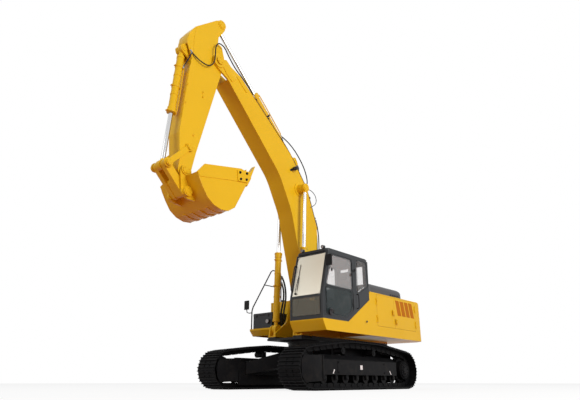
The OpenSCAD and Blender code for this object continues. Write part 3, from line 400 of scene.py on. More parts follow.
def finish_rubber():
    """Hose cover and gasket rubber: dull, finely grained, with pale bloom."""
    tones = colours()
    f = Finish("rubber")
    bloom = f.grain(7.0, 4.0).above(0.5, 0.3)
    return f.shade(Base_Color=f.mix(bloom * 0.5, rgba(tones.rubber), rgba(tones.rubber, 2.6)),
                   Roughness=0.50 + bloom * 0.2, Specular_IOR_Level=0.2,
                   Normal=f.bump(f.grain(420.0, 1.0), 0.2, 0.0008))


def pane(name, sill, door):
    """Panes that mirror the pale room: the windscreen most, the panes below the sill dark."""
    tones = colours()
    f = Finish(name)
    smear = f.grain(3.5, 5.0).above(0.5, 0.3)
    low = 1.0 - f.along("Z").above(sill, 0.01)
    front = f.along("X").above(1.2, 0.01) * f.along("Y").above(0.6, 0.01) * (0.0 if door else 1.0)
    screen = front * (1.0 - low)
    dark = f.mix(front, rgba(tones.dark_glass), rgba(tones.nose_glass))
    tone = f.mix(low, f.mix(screen, rgba(tones.glass), rgba(tones.screen)), dark)
    cover = (0.28 if door else 0.10) + screen * 0.80 + low * 0.34 + smear * 0.03
    return f.shade(Base_Color=f.mix(smear * 0.1, tone, rgba(tones.glass)), Metallic=screen * 0.92,
                   Roughness=0.03 + smear * 0.04 + screen * 0.42, Alpha=cover, IOR=1.5,
                   Specular_IOR_Level=0.3)


def finish_glass():
    return pane("fixed_panes", 2.02, False)


def finish_door_glass():
    return pane("door_panes", 2.24, True)


def finish_dark_glass():
    """A display's dark cover."""
    tones = colours()
    f = Finish("display_cover")
    film = f.grain(9.0, 3.0)
    return f.shade(Base_Color=f.mix(film, rgba(tones.dark_glass, 0.4), rgba(tones.dark_glass, 0.7)),
                   Roughness=0.06 + film * 0.05, Coat_Weight=0.5)


def finish_hood():
    """Moulded hood: dark grey, faintly pebbled."""
    tones = colours()
    f = Finish("hood_shell")
    mottle = f.grain(2.2, 4.0)
    return f.shade(Base_Color=f.mix(mottle, rgba(tones.hood), rgba(tones.hood, 1.3)),
                   Roughness=0.40 + mottle * 0.16, Specular_IOR_Level=0.4,
                   Normal=f.bump(f.grain(330.0, 2.0), 0.16, 0.0008))


def finish_lens():
    f = Finish("lamp_lens")
    ribs = f.node("ShaderNodeTexWave", {"bands_direction": "Y"},
                  {"Vector": f.place, "Scale": 30.0, "Distortion": 0.0})
    return f.shade(Base_Color=f.mix(ribs, (0.20, 0.21, 0.22, 1.0), (0.36, 0.37, 0.38, 1.0)),
                   Roughness=0.08, Coat_Weight=0.6, Normal=f.bump(ribs, 0.3, 0.002))


def finish_mirror():
    f = Finish("mirror_glass")
    film = f.grain(8.0, 3.0)
    return f.shade(Base_Color=f.mix(film, (0.80, 0.81, 0.83, 1.0), (0.72, 0.73, 0.75, 1.0)),
                   Metallic=1.0, Roughness=0.03 + film * 0.03)


def finish_cloth():
    """Woven seat cover: two crossed waves make the weave."""
    tones = colours()
    f = Finish("seat_cloth")
    warp = f.node("ShaderNodeTexWave", {"bands_direction": "X"}, {"Vector": f.place, "Scale": 120.0})
    weft = f.node("ShaderNodeTexWave", {"bands_direction": "Y"}, {"Vector": f.place, "Scale": 120.0})
    weave = warp * weft
    return f.shade(Base_Color=f.mix(weave, rgba(tones.cloth), rgba(tones.cloth, 2.2)),
                   Roughness=0.85 + weave * 0.1, Sheen_Weight=0.3,
                   Normal=f.bump(weave, 0.4, 0.002))


def finish_alloy():
    f = Finish("cast_alloy")
    cast = f.grain(40.0, 5.0)
    return f.shade(Base_Color=f.mix(cast, (0.16, 0.16, 0.165, 1.0), (0.26, 0.26, 0.265, 1.0)),
                   Metallic=0.8, Roughness=0.45 + cast * 0.2, Normal=f.bump(cast, 0.3, 0.002))


def finish_white():
    f = Finish("white_foil")
    scuff = f.grain(20.0, 4.0).above(0.55, 0.2)
    return f.shade(Base_Color=f.mix(scuff * 0.5, (0.82, 0.82, 0.81, 1.0), (0.55, 0.54, 0.52, 1.0)),
                   Roughness=0.4 + scuff * 0.2)


def finish_core():
    """Fins of a cooler behind a grille."""
    f = Finish("cooler_fins")
    fins = f.node("ShaderNodeTexWave", {"bands_direction": "X"}, {"Vector": f.place, "Scale": 55.0})
    return f.shade(Base_Color=f.mix(fins, (0.012, 0.012, 0.012, 1.0), (0.07, 0.068, 0.062, 1.0)),
                   Roughness=0.6 + fins * 0.2, Normal=f.bump(fins, 0.5, 0.004))


FINISHES = {
    "yellow": (finish_yellow, "paint_yellow"),
    "frame": (finish_frame_with_painted_shade, "paint_yellow"),
    "rail": (finish_rail, "rail_black"),
    "hood": (finish_hood, "hood_black"),
    "dark_glass": (finish_dark_glass, "glass"),
    "cab": (finish_cab, "cab_grey"),
    "black": (finish_black, "undercarriage_black"),
    "track": (finish_track, "track_steel"),
    "steel": (finish_steel, "bare_steel"),
    "ring": (finish_ring, "bare_steel"),
    "chrome": (finish_chrome, "rod_chrome"),
    "plastic": (finish_plastic, "hood_black"),
    "rubber": (finish_rubber, "trim_black"),
    "glass": (finish_glass, "glass"),
    "door_glass": (finish_door_glass, "glass"),
    "louvre_shade": (finish_louvre_shade, "paint_yellow"),
    "lens": (finish_lens, "glass"),
    "mirror": (finish_mirror, "rod_chrome"),
    "cloth": (finish_cloth, "trim_black"),
    "alloy": (finish_alloy, "engine_alloy"),
    "white": (finish_white, "box_grey"),
    "core": (finish_core, "frame_black"),
}
made_finishes = {}


def finish_of(name):
    """The material of a finish, made once."""
    if name not in made_finishes:
        made_finishes[name] = FINISHES[name][0]()
    return made_finishes[name]


# Shapes

def block(bm, low, high):
    """A box between two corners."""
    low, high = Vector(low), Vector(high)
    place = Matrix.Translation((low + high) / 2) @ Matrix.Diagonal((high - low).to_4d())
    place[3][3] = 1.0
    return bmesh.ops.create_cube(bm, size=1.0, matrix=place)["verts"]


def drum(bm, start, end, radius, far_radius=None, sides=32):
    """A round bar or cone from start to end."""
    start, end = Vector(start), Vector(end)
    turn = (end - start).to_track_quat("Z", "Y").to_matrix().to_4x4()
    place = Matrix.Translation((start + end) / 2) @ turn
    return bmesh.ops.create_cone(bm, cap_ends=True, segments=sides, radius1=radius,
                                 radius2=radius if far_radius is None else far_radius,
                                 depth=(end - start).length, matrix=place)["verts"]


def ring(bm, start, end, inner, outer, sides=36):
    """A round band from start to end with a hole through it."""
    start, end = Vector(start), Vector(end)
    along = (end - start).normalized()
    out = along.orthogonal().normalized()
    corners = [bm.verts.new(place + out * radius)
               for place, radius in ((start, inner), (start, outer), (end, outer), (end, inner))]
    edges = [bm.edges.new((a, b)) for a, b in zip(corners, corners[1:] + corners[:1])]
    bmesh.ops.spin(bm, geom=corners + edges, cent=start, axis=along, angle=math.tau, steps=sides,
                   use_merge=True)


def bolt(bm, at, axis, half_width=None, washer=True):
    """A hexagon head on a washer, standing on a face."""
    half = half_width or sizes().bolt
    at, axis = Vector(at), Vector(axis).normalized()
    if washer:
        drum(bm, at - axis * 0.001, at + axis * half * 0.25, half * 1.35, sides=16)
    drum(bm, at, at + axis * half * 0.95, half * 1.12, sides=6)
    drum(bm, at + axis * half * 0.94, at + axis * half * 1.1, half * 1.0, half * 0.75, sides=6)


def bolt_ring(bm, centre, axis, radius, count, half_width=None, start=0.0):
    """Bolts evenly round an axis."""
    axis = Vector(axis).normalized()
    turn = axis.to_track_quat("Z", "Y").to_matrix()
    for k in range(count):
        a = start + math.tau * k / count
        bolt(bm, Vector(centre) + turn @ Vector((radius * math.cos(a), radius * math.sin(a), 0.0)),
             axis, half_width)


def plate(bm, outline, low, high, axis="y"):
    """An outline of corners, extruded between two places on an axis."""
    def at(p, d):
        if axis == "y":
            return Vector((p[0], d, p[1]))
        return Vector((p[0], p[1], d)) if axis == "z" else Vector((d, p[0], p[1]))
    face = bm.faces.new([bm.verts.new(at(p, low)) for p in outline])
    made = bmesh.ops.extrude_face_region(bm, geom=[face])["geom"]
    moved = [g for g in made if isinstance(g, bmesh.types.BMVert)]
    bmesh.ops.translate(bm, vec=at((0.0, 0.0), high) - at((0.0, 0.0), low), verts=moved)
    return moved


def oblong(low, high):
    """The four corners of an upright rectangle."""
    return [(low[0], low[1]), (high[0], low[1]), (high[0], high[1]), (low[0], high[1])]


def rounded(corners, radius, steps=5):
    """An outline whose corners are arcs; a corner may carry its own radius."""
    points = []
    count = len(corners)
    for i, corner in enumerate(corners):
        here = Vector(corner[:2])
        before, after = Vector(corners[i - 1][:2]), Vector(corners[(i + 1) % count][:2])
        r = corner[2] if len(corner) > 2 else radius
        if r <= 0.0:
            points.append(here)
            continue
        u, v = (before - here).normalized(), (after - here).normalized()
        half = math.acos(max(-1.0, min(1.0, u.dot(v)))) / 2
        back = r / math.tan(half)
        knots = interpolate_bezier((here + u * back).to_3d(), (here + u * back * 0.45).to_3d(),
                                   (here + v * back * 0.45).to_3d(), (here + v * back).to_3d(), steps + 1)
        points.extend(p.to_2d() for p in knots)
    return points


def soften(bm, width=None, segments=2, angle=32.0):
    """Rounds the edges that are sharper than an angle."""
    bmesh.ops.recalc_face_normals(bm, faces=bm.faces)
    limit = math.radians(angle)
    sharp = [e for e in bm.edges if len(e.link_faces) == 2 and e.calc_face_angle(0.0) > limit]
    bmesh.ops.bevel(bm, geom=sharp, offset=width or sizes().edge, offset_type="OFFSET", affect="EDGES",
                    segments=segments, profile=0.5, material=-1, clamp_overlap=True)


def pushed(outline, distance):
    """An outline moved outwards along its own normals; the corners run anticlockwise or clockwise."""
    count = len(outline)
    turn = sum(a.x * b.y - b.x * a.y for a, b in zip(outline, outline[1:] + outline[:1]))
    way = 1.0 if turn > 0.0 else -1.0
    moved = []
    for i, here in enumerate(outline):
        u = (here - outline[i - 1]).normalized()
        v = (outline[(i + 1) % count] - here).normalized()
        square = Vector((u.y + v.y, -u.x - v.x)).normalized()
        moved.append(here + square * way * distance / max(0.5, square.dot(Vector((v.y, -v.x)))))
    return moved


def add(bm, part, place=MACHINE):
    """Joins a part, made in its own frame, to a bmesh."""
    part.transform(place)
    mesh = bpy.data.meshes.new("part")
    part.to_mesh(mesh)
    part.free()
    bm.from_mesh(mesh)
    bpy.data.meshes.remove(mesh)


def wall(origin, across, up, out):
    """A frame on a wall: X across it, Y up it, Z out of it."""
    columns = [Vector(v).to_4d() for v in (across, up, out)] + [Vector(origin).to_4d()]
    for column in columns[:3]:
        column.w = 0.0
    return Matrix(columns).transposed()


def smooth_way(points, steps=8):
    """A smooth curve through points, as points close together."""
    points = [Vector(p) for p in points]
    way = [points[0]]
    for i in range(len(points) - 1):
        a, b = points[i], points[i + 1]
        span = (b - a).length
        lead = (b - points[i - 1]).normalized() if i > 0 else (b - a).normalized()
        trail = (points[i + 2] - a).normalized() if i + 2 < len(points) else (b - a).normalized()
        way.extend(interpolate_bezier(a, a + lead * span / 3, b - trail * span / 3, b, steps + 1)[1:])
    return way


def length_of(way):
    return sum((b - a).length for a, b in zip(way, way[1:]))


def tube_mesh(name, way, radius, sides=4):
    """The mesh of a round tube along a way."""
    curve = bpy.data.curves.new(name, "CURVE")
    curve.dimensions = "3D"
    curve.bevel_depth = radius
    curve.bevel_resolution = sides
    curve.use_fill_caps = True
    spline = curve.splines.new("POLY")
    spline.points.add(len(way) - 1)
    for point, place in zip(spline.points, way):
        point.co = (*place, 1.0)
    shape = bpy.data.objects.new(name, curve)
    bpy.context.scene.collection.objects.link(shape)
    bpy.context.view_layer.update()
    mesh = bpy.data.meshes.new_from_object(shape.evaluated_get(bpy.context.evaluated_depsgraph_get()))
    bpy.data.objects.remove(shape)
    bpy.data.curves.remove(curve)
    return mesh


def tube(bm, way, radius, sides=4):
    """Adds a round tube along a way to a bmesh."""
    mesh = tube_mesh("tube", way, radius, sides)
    bm.from_mesh(mesh)
    bpy.data.meshes.remove(mesh)


def show(name, mesh, finish, body, smooth=34.0):
    """Puts a mesh in the scene with a finish, riding on a body."""
    mesh.shade_smooth()
    mesh.set_sharp_from_angle(angle=math.radians(smooth))
    shape = bpy.data.objects.new(name, mesh)
    bpy.context.scene.collection.objects.link(shape)
    mesh.materials.clear()
    mesh.materials.append(finish_of(finish))
    if body:
        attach(shape, body)
    return shape


def piece(bm, name, finish, body, place=MACHINE, smooth=34.0):
    """Turns a bmesh into a piece; place brings it from its own frame to the machine's."""
    bm.transform(place)
    mesh = bpy.data.meshes.new(name)
    bm.to_mesh(mesh)
    bm.free()
    return show(name, mesh, finish, body, smooth)


def merged(node):
    """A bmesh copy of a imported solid, its doubled corners merged and its flat faces whole."""
    bm = bmesh.new()
    bm.from_mesh(frame["nodes"][node].data)
    bmesh.ops.remove_doubles(bm, verts=bm.verts, dist=2e-5)
    bmesh.ops.dissolve_limit(bm, angle_limit=math.radians(0.4), verts=bm.verts, edges=bm.edges,
                             use_dissolve_boundaries=False)
    return bm


def stand_in(bm, node, finish):
    """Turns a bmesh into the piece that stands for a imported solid."""
    shape = piece(bm, node + "_dressed", finish, frame["nodes"][node]["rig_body"])
    shape.modifiers.new("flat_faces", "WEIGHTED_NORMAL").keep_sharp = True
    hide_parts(node)
    return shape


def dress(node, finish, width=0.004, segments=2, angle=30.0):
    """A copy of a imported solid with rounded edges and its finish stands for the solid."""
    bm = merged(node)
    limit = math.radians(angle)
    sharp = [e for e in bm.edges if len(e.link_faces) == 2 and e.calc_face_angle(0.0) > limit]
    bmesh.ops.bevel(bm, geom=sharp, offset=width, offset_type="OFFSET", affect="EDGES",
                    segments=segments, profile=0.5, material=-1, clamp_overlap=True)
    return stand_in(bm, node, finish)


def finish_node(node, finish):
    """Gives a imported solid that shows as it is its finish."""
    solid = frame["nodes"][node]
    solid.data.materials.clear()
    solid.data.materials.append(finish_of(finish))


# Stage

class EXCAVATOR_OT_stage(bpy.types.Operator):
    """Camera, floor, lamps and the white room"""

    bl_idname = "excavator.stage"
    bl_label = "Stage"

    def execute(self, context):
        settings = context.scene.excavator_stage
        context.scene.view_settings.view_transform = "Standard"
        self.camera(context, settings)
        self.floor(settings)
        self.room(context, settings)
        self.lamp("key_lamp", (4.0, 20.0, 8.0), 11.0, settings.key)
        self.lamp("front_lamp", (19.0, -4.0, 9.0), 10.0, settings.key * 0.25)
        self.lamp("back_lamp", (-14.0, -10.0, 14.0), 10.0, settings.key * 0.25)
        return {"FINISHED"}

    def camera(self, context, settings):
        camera = bpy.data.cameras.new("camera")
        camera.lens = settings.lens
        camera.sensor_width = 36.0
        camera.clip_end = 200.0
        shape = bpy.data.objects.new("camera", camera)
        shape.location = settings.eye
        shape.rotation_euler = (math.pi / 2 + settings.pitch, 0.0, settings.heading - math.pi / 2)
        context.scene.collection.objects.link(shape)
        context.scene.camera = shape

    def floor(self, settings):
        bm = bmesh.new()
        bmesh.ops.create_grid(bm, x_segments=1, y_segments=1, size=60.0)
        mesh = bpy.data.meshes.new("floor")
        bm.to_mesh(mesh)
        bm.free()
        f = Finish("floor")
        seen = f.seen()
        tone = f.mix(seen, rgba(settings.bounce), rgba(settings.floor))
        plain = f.node("ShaderNodeBsdfDiffuse", inputs={"Color": tone})
        pale = f.node("ShaderNodeEmission", inputs={"Color": WHITE, "Strength": 1.0})
        surface = f.node("ShaderNodeMixShader", inputs={0: seen * 0.84, 1: plain, 2: pale})
        f.node("ShaderNodeOutputMaterial", inputs={"Surface": surface})
        mesh.materials.append(f.material)
        shape = bpy.data.objects.new("floor", mesh)
        bpy.context.scene.collection.objects.link(shape)

    def room(self, context, settings):
        world = bpy.data.worlds.new("room")
        r = Nodes(world)
        light = r.node("ShaderNodeBackground", inputs={"Color": WHITE, "Strength": settings.sky})
        white = r.node("ShaderNodeBackground", inputs={"Color": WHITE, "Strength": 1.0})
        surface = r.node("ShaderNodeMixShader", inputs={0: r.seen(), 1: light, 2: white})
        r.node("ShaderNodeOutputWorld", inputs={"Surface": surface})
        context.scene.world = world

    def lamp(self, name, place, width, power):
        lamp = bpy.data.lights.new(name, "AREA")
        lamp.shape = "DISK"
        lamp.size = width
        lamp.energy = power
        shape = bpy.data.objects.new(name, lamp)
        shape.location = place
        aim = Vector((1.0, 0.0, 3.0)) - Vector(place)
        shape.rotation_euler = aim.to_track_quat("-Z", "Y").to_euler()
        bpy.context.scene.collection.objects.link(shape)


class EXCAVATOR_OT_solids(bpy.types.Operator):
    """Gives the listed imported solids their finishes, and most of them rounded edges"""

    bl_idname = "excavator.solids"
    bl_label = "Packed solids"

    finishes = {
        "yellow": ("boom", "arm", "bucket", "tip_link", "rockers", "top_cover",
                   "front_panel", "left_door", "radiator_door", "pump_door", "tanks", "boom_barrels",
                   "arm_barrel", "bucket_barrel"),
        "frame": ("main_frame",),
        "cab": ("cab_floor", "cab_front_frame", "cab_left_wall", "cab_right_wall", "cab_rear_wall",
                "cab_roof", "cab_door", "toolbox"),
        "black": ("car_body", "track_frame_left", "track_frame_right", "final_drives",
                  "track_rollers", "idlers", "house_frame"),
        "rail": ("handrails", "boom_pipes"),
        "ring": ("slew_ring",),
        "chrome": ("boom_rods", "arm_rod", "bucket_rod"),
        "hood": ("engine_hood",),
        "plastic": ("boom_lamp",),
        "glass": ("cab_glass",),
        "door_glass": ("door_glass",),
        "alloy": ("engine_block",),
    }
    edges = {"yellow": 0.004, "frame": 0.004, "cab": 0.010, "hood": 0.008, "plastic": 0.003, "black": 0.005}

    def execute(self, context):
        for finish, nodes in self.finishes.items():
            for node in nodes:
                if finish in self.edges:
                    dress(node, finish, self.edges[finish])
                else:
                    finish_node(node, finish)
        return {"FINISHED"}


# Hoses

class EXCAVATOR_OT_hoses(bpy.types.Operator):
    """Hydraulic hoses between the bodies, with their fittings"""

    bl_idname = "excavator.hoses"
    bl_label = "Hoses"

    def execute(self, context):
        s = sizes()
        tip = [(5.42, 0.215, 0.815), (5.64, 0.222, 0.755), (5.92, 0.228, 0.64), (6.22, 0.236, 0.49),
               (6.53, 0.262, 0.385), (6.77, 0.285, 0.315), (6.875, 0.290, 0.165), (6.785, 0.290, 0.01),
               (6.575, 0.290, -0.126), (6.40, 0.288, -0.285), (6.36, 0.280, -0.47), (6.455, 0.265, -0.625),
               (6.63, 0.230, -0.735), (6.79, 0.205, -0.785)]
        self.hose("tip_hose", in_frame(BOOM, tip), "boom", "arm", s.arm_hose)
        for side, word in SIDES:
            bend = [(2.69, 0.195, 1.565), (2.735, 0.197, 1.675), (2.86, 0.198, 1.76), (3.04, 0.198, 1.805),
                    (3.26, 0.194, 1.815), (3.50, 0.183, 1.79), (3.74, 0.168, 1.735), (3.98, 0.135, 1.655),
                    (4.13, 0.092, 1.595), (4.26, 0.052, 1.532)]
            self.hose("bend_hose_" + word, in_frame(BOOM, [(p[0], side * p[1], p[2]) for p in bend]),
                      "boom", "arm_barrel", s.arm_hose)
            y = side * 0.385
            lift = [(0.47, y, 1.185), (0.49, y, 1.30), (0.60, y, 1.455), (0.76, y, 1.60), (0.815, y, 1.80),
                    (0.775, y, 2.00), (0.728, y, 2.18), (0.718, y, 2.36), (0.748, y, 2.50), (0.822, y, 2.62)]
            self.hose("lift_hose_" + word, lift, "upper", "boom_barrels", s.hose, 2.27, 0.0)
            drop = [(0.36, y, 1.185), (0.38, y, 1.32), (0.49, y, 1.50), (0.65, y, 1.66), (0.71, y, 1.84),
                    (0.675, y, 2.02), (0.640, y, 2.18), (0.638, y, 2.38), (0.672, y, 2.55), (0.735, y, 2.69),
                    (0.817, y, 2.78)]
            self.hose("drop_hose_" + word, drop, "upper", "boom_barrels", s.hose, 2.27, 0.0)
            for k, gap in enumerate((0.175, 0.215)):
                lag = 0.03 * k
                low = [(-0.62 - lag, side * gap, z) for z in (1.185, 1.42, 1.72)]
                foot = [(-0.28, 0.72), (0.10, 0.76), (0.48, 0.84), (0.90, 1.03), (1.30, 1.27), (1.56, 1.38),
                        (1.76, 1.425)]
                way = in_frame(BOOM, [(u - lag, side * gap, v + lag * 0.5) for u, v in foot])
                self.hose("foot_hose_%s_%d" % (word, k), low + [(-0.56 - lag, side * gap, 2.02)] + way,
                          "upper", "boom", s.arm_hose)
        crowd = [(0.36, 0.208, 0.75), (0.46, 0.215, 0.756), (0.58, 0.185, 0.762), (0.68, 0.125, 0.760),
                 (0.79, 0.060, 0.752)]
        self.hose("crowd_hose", in_frame(ARM, crowd), "arm", "bucket_barrel", s.arm_hose)
        grease = [(2.62, 0.252, 1.41), (2.61, 0.268, 1.53), (2.52, 0.280, 1.655), (2.37, 0.282, 1.73),
                  (2.23, 0.280, 1.71), (2.150, 0.272, 1.62), (2.13, 0.262, 1.51), (2.13, 0.250, 1.40)]
        self.hose("grease_hose", in_frame(BOOM, grease), "boom", "boom", s.thin_hose)
        return {"FINISHED"}

    def hose(self, name, points, first, second, width, held=None, sunk=0.4):
        """A hose from one body to another with a nut at each end; held is the height of a far clamp whose
        point is found but not used, and no clamp is drawn; sunk how many widths its far fitting goes into the
        part."""
        way = smooth_way(points, max(3, math.ceil(15 / (len(points) - 1))))
        clamp = min(way, key=lambda p: abs(p.z - held)) if held else way[-1]
        shape = show(name, tube_mesh(name, way, width / 2, 3), "rubber", first if first == second else None)
        if first != second:
            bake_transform(shape)
        length_of(way)
        ends = (("in", way[0], way[1], first, 0.4), ("out", way[-1], way[-2], second, sunk))
        for mark, end, ahead, body, deep in ends:
            along = (ahead - end).normalized()
            bm = bmesh.new()
            drum(bm, end - along * width * deep, end + along * width * 1.9, width * 0.60, sides=20)
            drum(bm, end + along * width * 0.2, end + along * width * 0.9, width * 0.78, sides=6)
            drum(bm, end + along * width * 1.5, end + along * width * 1.7, width * 0.66, sides=20)
            soften(bm, width * 0.05, 1)
            piece(bm, "%s_fitting_%s" % (name, mark), "steel", body)


# Tracks

class EXCAVATOR_OT_tracks(bpy.types.Operator):
    """Two track chains: triple rib shoes, links, pins and bolts"""

    bl_idname = "excavator.tracks"
    bl_label = "Tracks"

    wheels = ((2.02, 0.455, 0.300), (0.65, 0.845, 0.075), (-0.65, 0.845, 0.075), (-2.02, 0.465, 0.310))
    middle = 1.295
    count = 46
    link = 0.105

    def execute(self, context):
        line = [self.support(math.radians(a), self.link) for a in range(0, 360, 2)]
        pitch = sum((b - a).length for a, b in zip(line, line[1:] + line[:1])) / self.count
        shoe = self.shoe(pitch)
        for side, node in ((1, "track_left"), (-1, "track_right")):
            bm = bmesh.new()
            for k in range(self.count):
                start, end = self.along(line, k * pitch), self.along(line, (k + 1) * pitch)
                turn = math.atan2(end.y - start.y, end.x - start.x)
                centre = ((start.x + end.x) / 2, (start.y + end.y) / 2)
                one = shoe.copy()
                one.transform(lengthwise(in_plane(centre, side * self.middle), turn))
                bm.from_mesh(one)
                bpy.data.meshes.remove(one)
            chain = piece(bm, node + "_chain", "track", "undercarriage")
            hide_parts(node)
        bpy.data.meshes.remove(shoe)
        return {"FINISHED"}

    def support(self, angle, out):
        """The belt's point whose outward direction is an angle."""
        away = Vector((math.cos(angle), math.sin(angle)))
        x, z, r = max(self.wheels, key=lambda w: w[0] * away.x + w[1] * away.y + w[2])
        return Vector((x, z)) + away * (r + out)

    def along(self, line, distance):
        """The point a distance along the closed line."""
        for a, b in zip(line, line[1:] + line[:1]):
            step = (b - a).length
            if distance <= step:
                return a.lerp(b, distance / step)
            distance -= step
        return line[0].copy()

    def shoe(self, pitch):
        """One shoe with its two links, its pin and four bolts; outwards is down."""
        bm = bmesh.new()
        half, rib = pitch / 2, 0.36 * pitch
        profile = [(-half + 0.004, 0.0), (-half + 0.004, -0.012), (-rib - 0.014, -0.019)]
        for t in (-rib, 0.0, rib):
            profile += [(t - 0.011, -0.020), (t - 0.0065, -0.0495), (t + 0.0065, -0.0495),
                        (t + 0.011, -0.020)]
        profile += [(rib + 0.014, -0.019), (half + 0.006, -0.010), (half + 0.006, 0.0)]
        plate(bm, profile, -0.3, 0.3)
        link = rounded([(-half + 0.006, 0.0), (half - 0.006, 0.0), (half + 0.012, 0.05),
                        (half - 0.03, 0.1025), (-half + 0.03, 0.1025), (-half - 0.012, 0.05)], 0.018, 2)
        for y in (-0.083, 0.083):
            plate(bm, link, y - 0.017, y + 0.017)
        drum(bm, (half, -0.112, 0.056), (half, 0.112, 0.056), 0.030, sides=14)
        for t in (-rib / 2, rib / 2):
            for y in (-0.086, 0.086):
                drum(bm, (t, y, -0.018), (t, y, -0.036), 0.018, sides=6)
        bmesh.ops.recalc_face_normals(bm, faces=bm.faces)
        mesh = bpy.data.meshes.new("shoe")
        bm.to_mesh(mesh)
        bm.free()
        return mesh


class EXCAVATOR_OT_undercarriage(bpy.types.Operator):
    """Bolts, covers, hose guards and marks of the undercarriage"""

    bl_idname = "excavator.undercarriage"
    bl_label = "Undercarriage"

    def execute(self, context):
        middle = EXCAVATOR_OT_tracks.middle
        drive = EXCAVATOR_OT_tracks.wheels[-1]
        steel, marks, caps, guards = bmesh.new(), bmesh.new(), bmesh.new(), bmesh.new()
        for side in (1, -1):
            out = Vector((0.0, side, 0.0))
            face = side * (middle + 0.195)
            bolt_ring(steel, (drive[0], face, drive[1]), out, 0.160, 16, 0.014)
            bolt_ring(steel, (drive[0], face + side * 0.020, drive[1]), out, 0.090, 6, 0.012, 0.3)
            bolt_ring(steel, (drive[0], side * (middle + 0.165), drive[1]), out, 0.216, 24, 0.011)
            for face in (side * (middle + 0.188), side * (middle - 0.188)):
                way = math.copysign(0.014, face - side * middle)
                plate(caps, rounded([(1.530, 0.190), (2.150, 0.165), (2.255, 0.300), (2.255, 0.610),
                                     (2.180, 0.700), (1.530, 0.722)], 0.05, 4), face, face + way)
                low, high = sorted((face, face + way * 1.8))
                block(caps, (1.520, low, 0.200), (1.560, high, 0.715))
            inner = side * (middle - 0.185)
            plate(caps, oblong((-1.72, 0.095), (1.56, 0.335)), inner - 0.008, inner + 0.008)
            for k in range(8):
                x = -1.434 + 2.868 * k / 7
                drum(caps, (x, side * (middle + 0.169), 0.250), (x, side * (middle + 0.182), 0.250),
                     0.046, 0.038, 20)
                for step in (-0.036, 0.036):
                    bolt(steel, (x + step, side * (middle + 0.170), 0.305), out, 0.010, False)
            self.guard(guards, side * 1.046, side)
            face = side * (middle + 0.196)
            plate(marks, oblong((0.015, 0.441), (0.111, 0.537)), face, face + side * 0.003)
            for x, lean in ((1.156, -0.026), (-1.240, 0.026)):
                plate(marks, [(x - 0.016 - lean, 0.345), (x + 0.016 - lean, 0.345), (x + 0.016 + lean, 0.430),
                              (x - 0.016 + lean, 0.430)], face, face + side * 0.003)
            for x in (-0.96, 0.96):
                for z in (0.375, 0.585):
                    bolt(steel, (x, face, z), out, 0.014)
        for k in range(36):
            a = math.tau * k / 36
            bolt(steel, (0.66 * math.cos(a), 0.66 * math.sin(a), 1.000), (0.0, 0.0, 1.0), 0.016, False)
        bmesh.ops.recalc_face_normals(marks, faces=marks.faces)
        soften(caps, 0.004)
        piece(steel, "undercarriage_bolts", "black", "undercarriage")
        piece(caps, "frame_covers", "black", "undercarriage")
        piece(guards, "hose_guards", "black", "undercarriage")
        piece(marks, "frame_marks", "white", "undercarriage")
        return {"FINISHED"}

    def guard(self, bm, y, side):
        """The bent plate beside the track frame that shields the travel motor's hoses."""
        part = bmesh.new()
        top = [(-2.06, 0.810), (-1.95, 0.850), (-1.30, 0.925), (-0.62, 0.985), (0.10, 0.985)]
        plate(part, [(-2.06, 0.640)] + top + [(0.10, 0.640)], y - 0.005, y + 0.005)
        for (x0, z0), (x1, z1) in zip(top, top[1:]):
            plate(part, [(x0, z0 - 0.009), (x1, z1 - 0.009), (x1, z1), (x0, z0)], y - side * 0.055, y)
        for x, z in ((-1.45, 0.890), (-0.80, 0.955), (-0.20, 0.970)):
            low, high = sorted((y, y - side * 0.045))
            block(part, (x - 0.006, low, 0.66), (x + 0.006, high, z))
        soften(part, 0.003)
        for x in (-1.80, -1.15, -0.50, -0.05):
            bolt(part, (x, y + side * 0.005, 0.715), (0, side, 0), 0.012)
        add(bm, part)


# Upper structure

